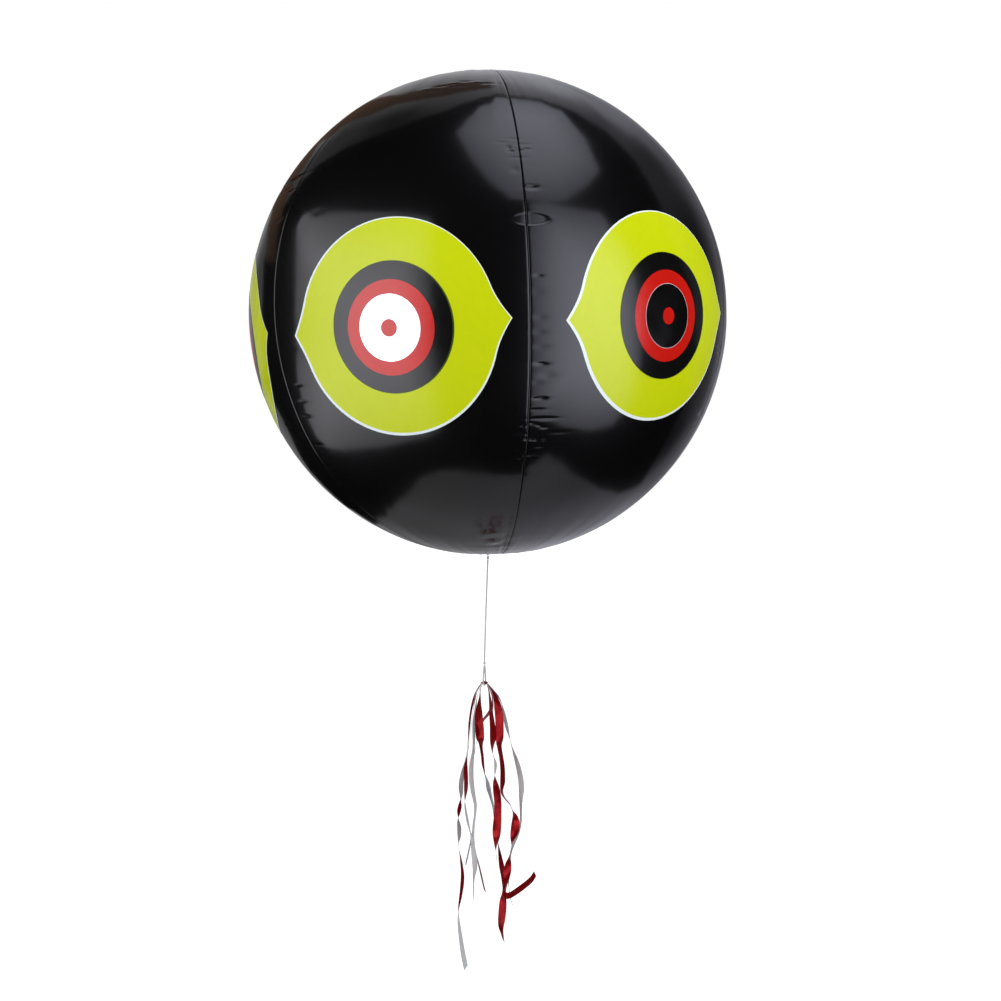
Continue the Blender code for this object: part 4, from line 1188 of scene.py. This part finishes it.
def glowMaterial(name, colour=None):
    # One colour, or the panel's own glow at each point
    material = bpy.data.materials.new(name)
    material.use_nodes = True
    tree = material.node_tree
    tree.nodes.clear()
    glow = tree.nodes.new("ShaderNodeEmission")
    if colour:
        glow.inputs["Color"].default_value = (*colour, 1)
    else:
        level = tree.nodes.new("ShaderNodeAttribute")
        level.attribute_name = "glow"
        tree.links.new(level.outputs["Color"], glow.inputs["Color"])
    leave = tree.nodes.new("ShaderNodeOutputMaterial")
    tree.links.new(glow.outputs[0], leave.inputs["Surface"])
    return material


def reflectionPanel(name, points, faces, material, glows=None):
    mesh = bpy.data.meshes.new(name)
    mesh.from_pydata(points, [], faces)
    mesh.materials.append(material)
    if glows:
        colours = [part for glow in glows for part in (*glow, 1)]
        mesh.attributes.new("glow", "FLOAT_COLOR", "POINT").data.foreach_set("color", colours)
    panel = bpy.data.objects.new(name, mesh)
    bpy.context.scene.collection.objects.link(panel)
    panel.visible_camera = False
    panel.visible_diffuse = False
    panel.visible_shadow = False
    panel.visible_transmission = False
    panel.visible_volume_scatter = False


def rimOf(name, distance):
    # The directions of the panel's rim from the ball, for a panel at that distance
    pixels, rim = reflections[name], []
    for a, b in zip(pixels, pixels[1:] + pixels[:1]):
        for share in studio["rimShares"]:
            place, way = reflected(a[0] + (b[0] - a[0]) * share, a[1] + (b[1] - a[1]) * share)
            start = place - ball["centre"]
            run = sqrt(start.dot(way) ** 2 + distance ** 2 - start.length_squared) - start.dot(way)
            rim.append((start + way * run).normalized())
    return rim


def domePanel(name, rim, middle, distance, glowAt):
    # A panel that curves round the ball, from its middle out to its rim
    count, rings = len(rim), studio["rings"]
    ways, shares = [middle], [0]
    for i in range(rings):
        share = (i + 1) / rings
        ways += [middle.slerp(way, share) for way in rim]
        shares += [share] * count
    faces = [(0, j + 1, (j + 1) % count + 1) for j in range(count)]
    for i in range(rings - 1):
        for j in range(count):
            k, a, b = (j + 1) % count, 1 + i * count, 1 + (i + 1) * count
            faces.append((a + j, a + k, b + k, b + j))
    glows = [glowAt(way, share) for way, share in zip(ways, shares)]
    points = [ball["centre"] + way * distance for way in ways]
    reflectionPanel(name, points, faces, glowMaterial(name), glows)


def sweepGlowAt(way, share):
    blur, power = studio["sweepBlend"]
    weights = [(1 / (way.angle(direction(radians(a), radians(b))) + blur) ** power, glow)
               for a, b, glow in sweepLight]
    glow = sum(w * glow for w, glow in weights) / sum(w for w, glow in weights)
    plain, cool = studio["sweepTint"]
    middle, gain = studio["sweepCool"]
    return glow, glow, glow * (1 + plain + cool * smoothStep(middle + gain * way.x))


def makeReflections():
    inner, outer = studio["boxFade"]
    for name, (edge, core), tint in (("leftSoftbox", studio["leftGlow"], studio["leftTint"]),
                                     ("rightSoftbox", studio["rightGlow"], studio["rightTint"]),
                                     ("topSoftbox", studio["topGlow"], studio["rightTint"])):
        rim = rimOf(name, studio["panelDistance"])
        middle = sum(rim, Vector()).normalized()
        if name == "leftSoftbox":
            middle = reflected(*studio["leftMiddle"])[1]
        domePanel(name, rim, middle, studio["panelDistance"], lambda way, share:
                  [part * (edge + (core - edge) * (1 - share ** inner) ** outer) for part in tint])
    # The white sweep behind and under the ball
    middle = direction(radians(studio["sweepMiddle"][0]), radians(studio["sweepMiddle"][1]))
    domePanel("sweepReflection", rimOf("sweep", studio["sweepDistance"]), middle, studio["sweepDistance"],
              sweepGlowAt)
    # A wooden door to the left, seen as a thin brown band
    points = [ball["centre"] + way * studio["doorDistance"] for way in rimOf("door", studio["doorDistance"])]
    reflectionPanel("doorReflection", points, [tuple(range(len(points)))],
                    glowMaterial("doorGlow", studio["doorGlow"]))
    # The dark room round the camera
    room = bmesh.new()
    around, up = studio["roomSides"]
    bmesh.ops.create_uvsphere(room, u_segments=around, v_segments=up, radius=studio["roomRadius"])
    bmesh.ops.translate(room, verts=room.verts, vec=ball["centre"])
    room.verts.index_update()
    points = [v.co.copy() for v in room.verts]
    faces = [tuple(v.index for v in f.verts) for f in room.faces]
    room.free()
    reflectionPanel("darkRoom", points, faces, glowMaterial("darkRoom", (studio["roomGlow"],) * 3))


def softLamp(name, azimuth, elevation, distance, size, power):
    lamp = bpy.data.lights.new(name, "AREA")
    lamp.shape = "SQUARE"
    lamp.size = size
    lamp.energy = power
    obj = bpy.data.objects.new(name, lamp)
    way = direction(radians(azimuth), radians(elevation))
    obj.location = ball["centre"] + way * distance
    obj.rotation_euler = way.to_track_quat("Z", "Y").to_euler()
    bpy.context.scene.collection.objects.link(obj)
    obj.visible_camera = False
    obj.visible_glossy = False


def seenRays(tree):
    # 1 for rays that see the thing itself or its reflection, and 0 for the light it gives
    paths = tree.nodes.new("ShaderNodeLightPath")
    seen = mathNode(tree, "MAXIMUM", paths.outputs["Is Camera Ray"], paths.outputs["Is Glossy Ray"])
    return mathNode(tree, "MAXIMUM", seen, paths.outputs["Is Transmission Ray"])


def makeWorld():
    world = bpy.data.worlds.new("whiteStudio")
    bpy.context.scene.world = world
    world.use_nodes = True
    tree = world.node_tree
    tree.nodes.clear()
    ambient = tree.nodes.new("ShaderNodeBackground")
    ambient.inputs["Strength"].default_value = studio["ambient"]
    white = tree.nodes.new("ShaderNodeBackground")
    white.inputs["Strength"].default_value = 1.0
    for node in (ambient, white):
        node.inputs["Color"].default_value = (1, 1, 1, 1)
    mix = tree.nodes.new("ShaderNodeMixShader")
    tree.links.new(seenRays(tree), mix.inputs[0])
    tree.links.new(ambient.outputs[0], mix.inputs[1])
    tree.links.new(white.outputs[0], mix.inputs[2])
    leave = tree.nodes.new("ShaderNodeOutputWorld")
    tree.links.new(mix.outputs[0], leave.inputs["Surface"])


def makeFloor():
    mesh = bpy.data.meshes.new("floor")
    far, z = studio["floorReach"], studio["floor"]
    mesh.from_pydata([(-far, -far, z), (far, -far, z), (far, far, z), (-far, far, z)], [], [(0, 1, 2, 3)])
    material, tree, shader = newMaterial("paleFloor", studio["floorColour"])
    shader.inputs["Roughness"].default_value = studio["floorRoughness"]
    # White to the eye and in reflections, with no light of its own on the object
    shader.inputs["Emission Color"].default_value = (1, 1, 1, 1)
    glow = mathNode(tree, "MULTIPLY", seenRays(tree), studio["floorGlow"])
    tree.links.new(glow, shader.inputs["Emission Strength"])
    mesh.materials.append(material)
    floor = bpy.data.objects.new("floor", mesh)
    floor.visible_glossy = False
    bpy.context.scene.collection.objects.link(floor)


makeWorld()
makeFloor()
makeReflections()
for name, numbers in lamps.items():
    softLamp(name, *numbers)
bpy.context.scene.view_settings.view_transform = "Standard"
print("studio lit")
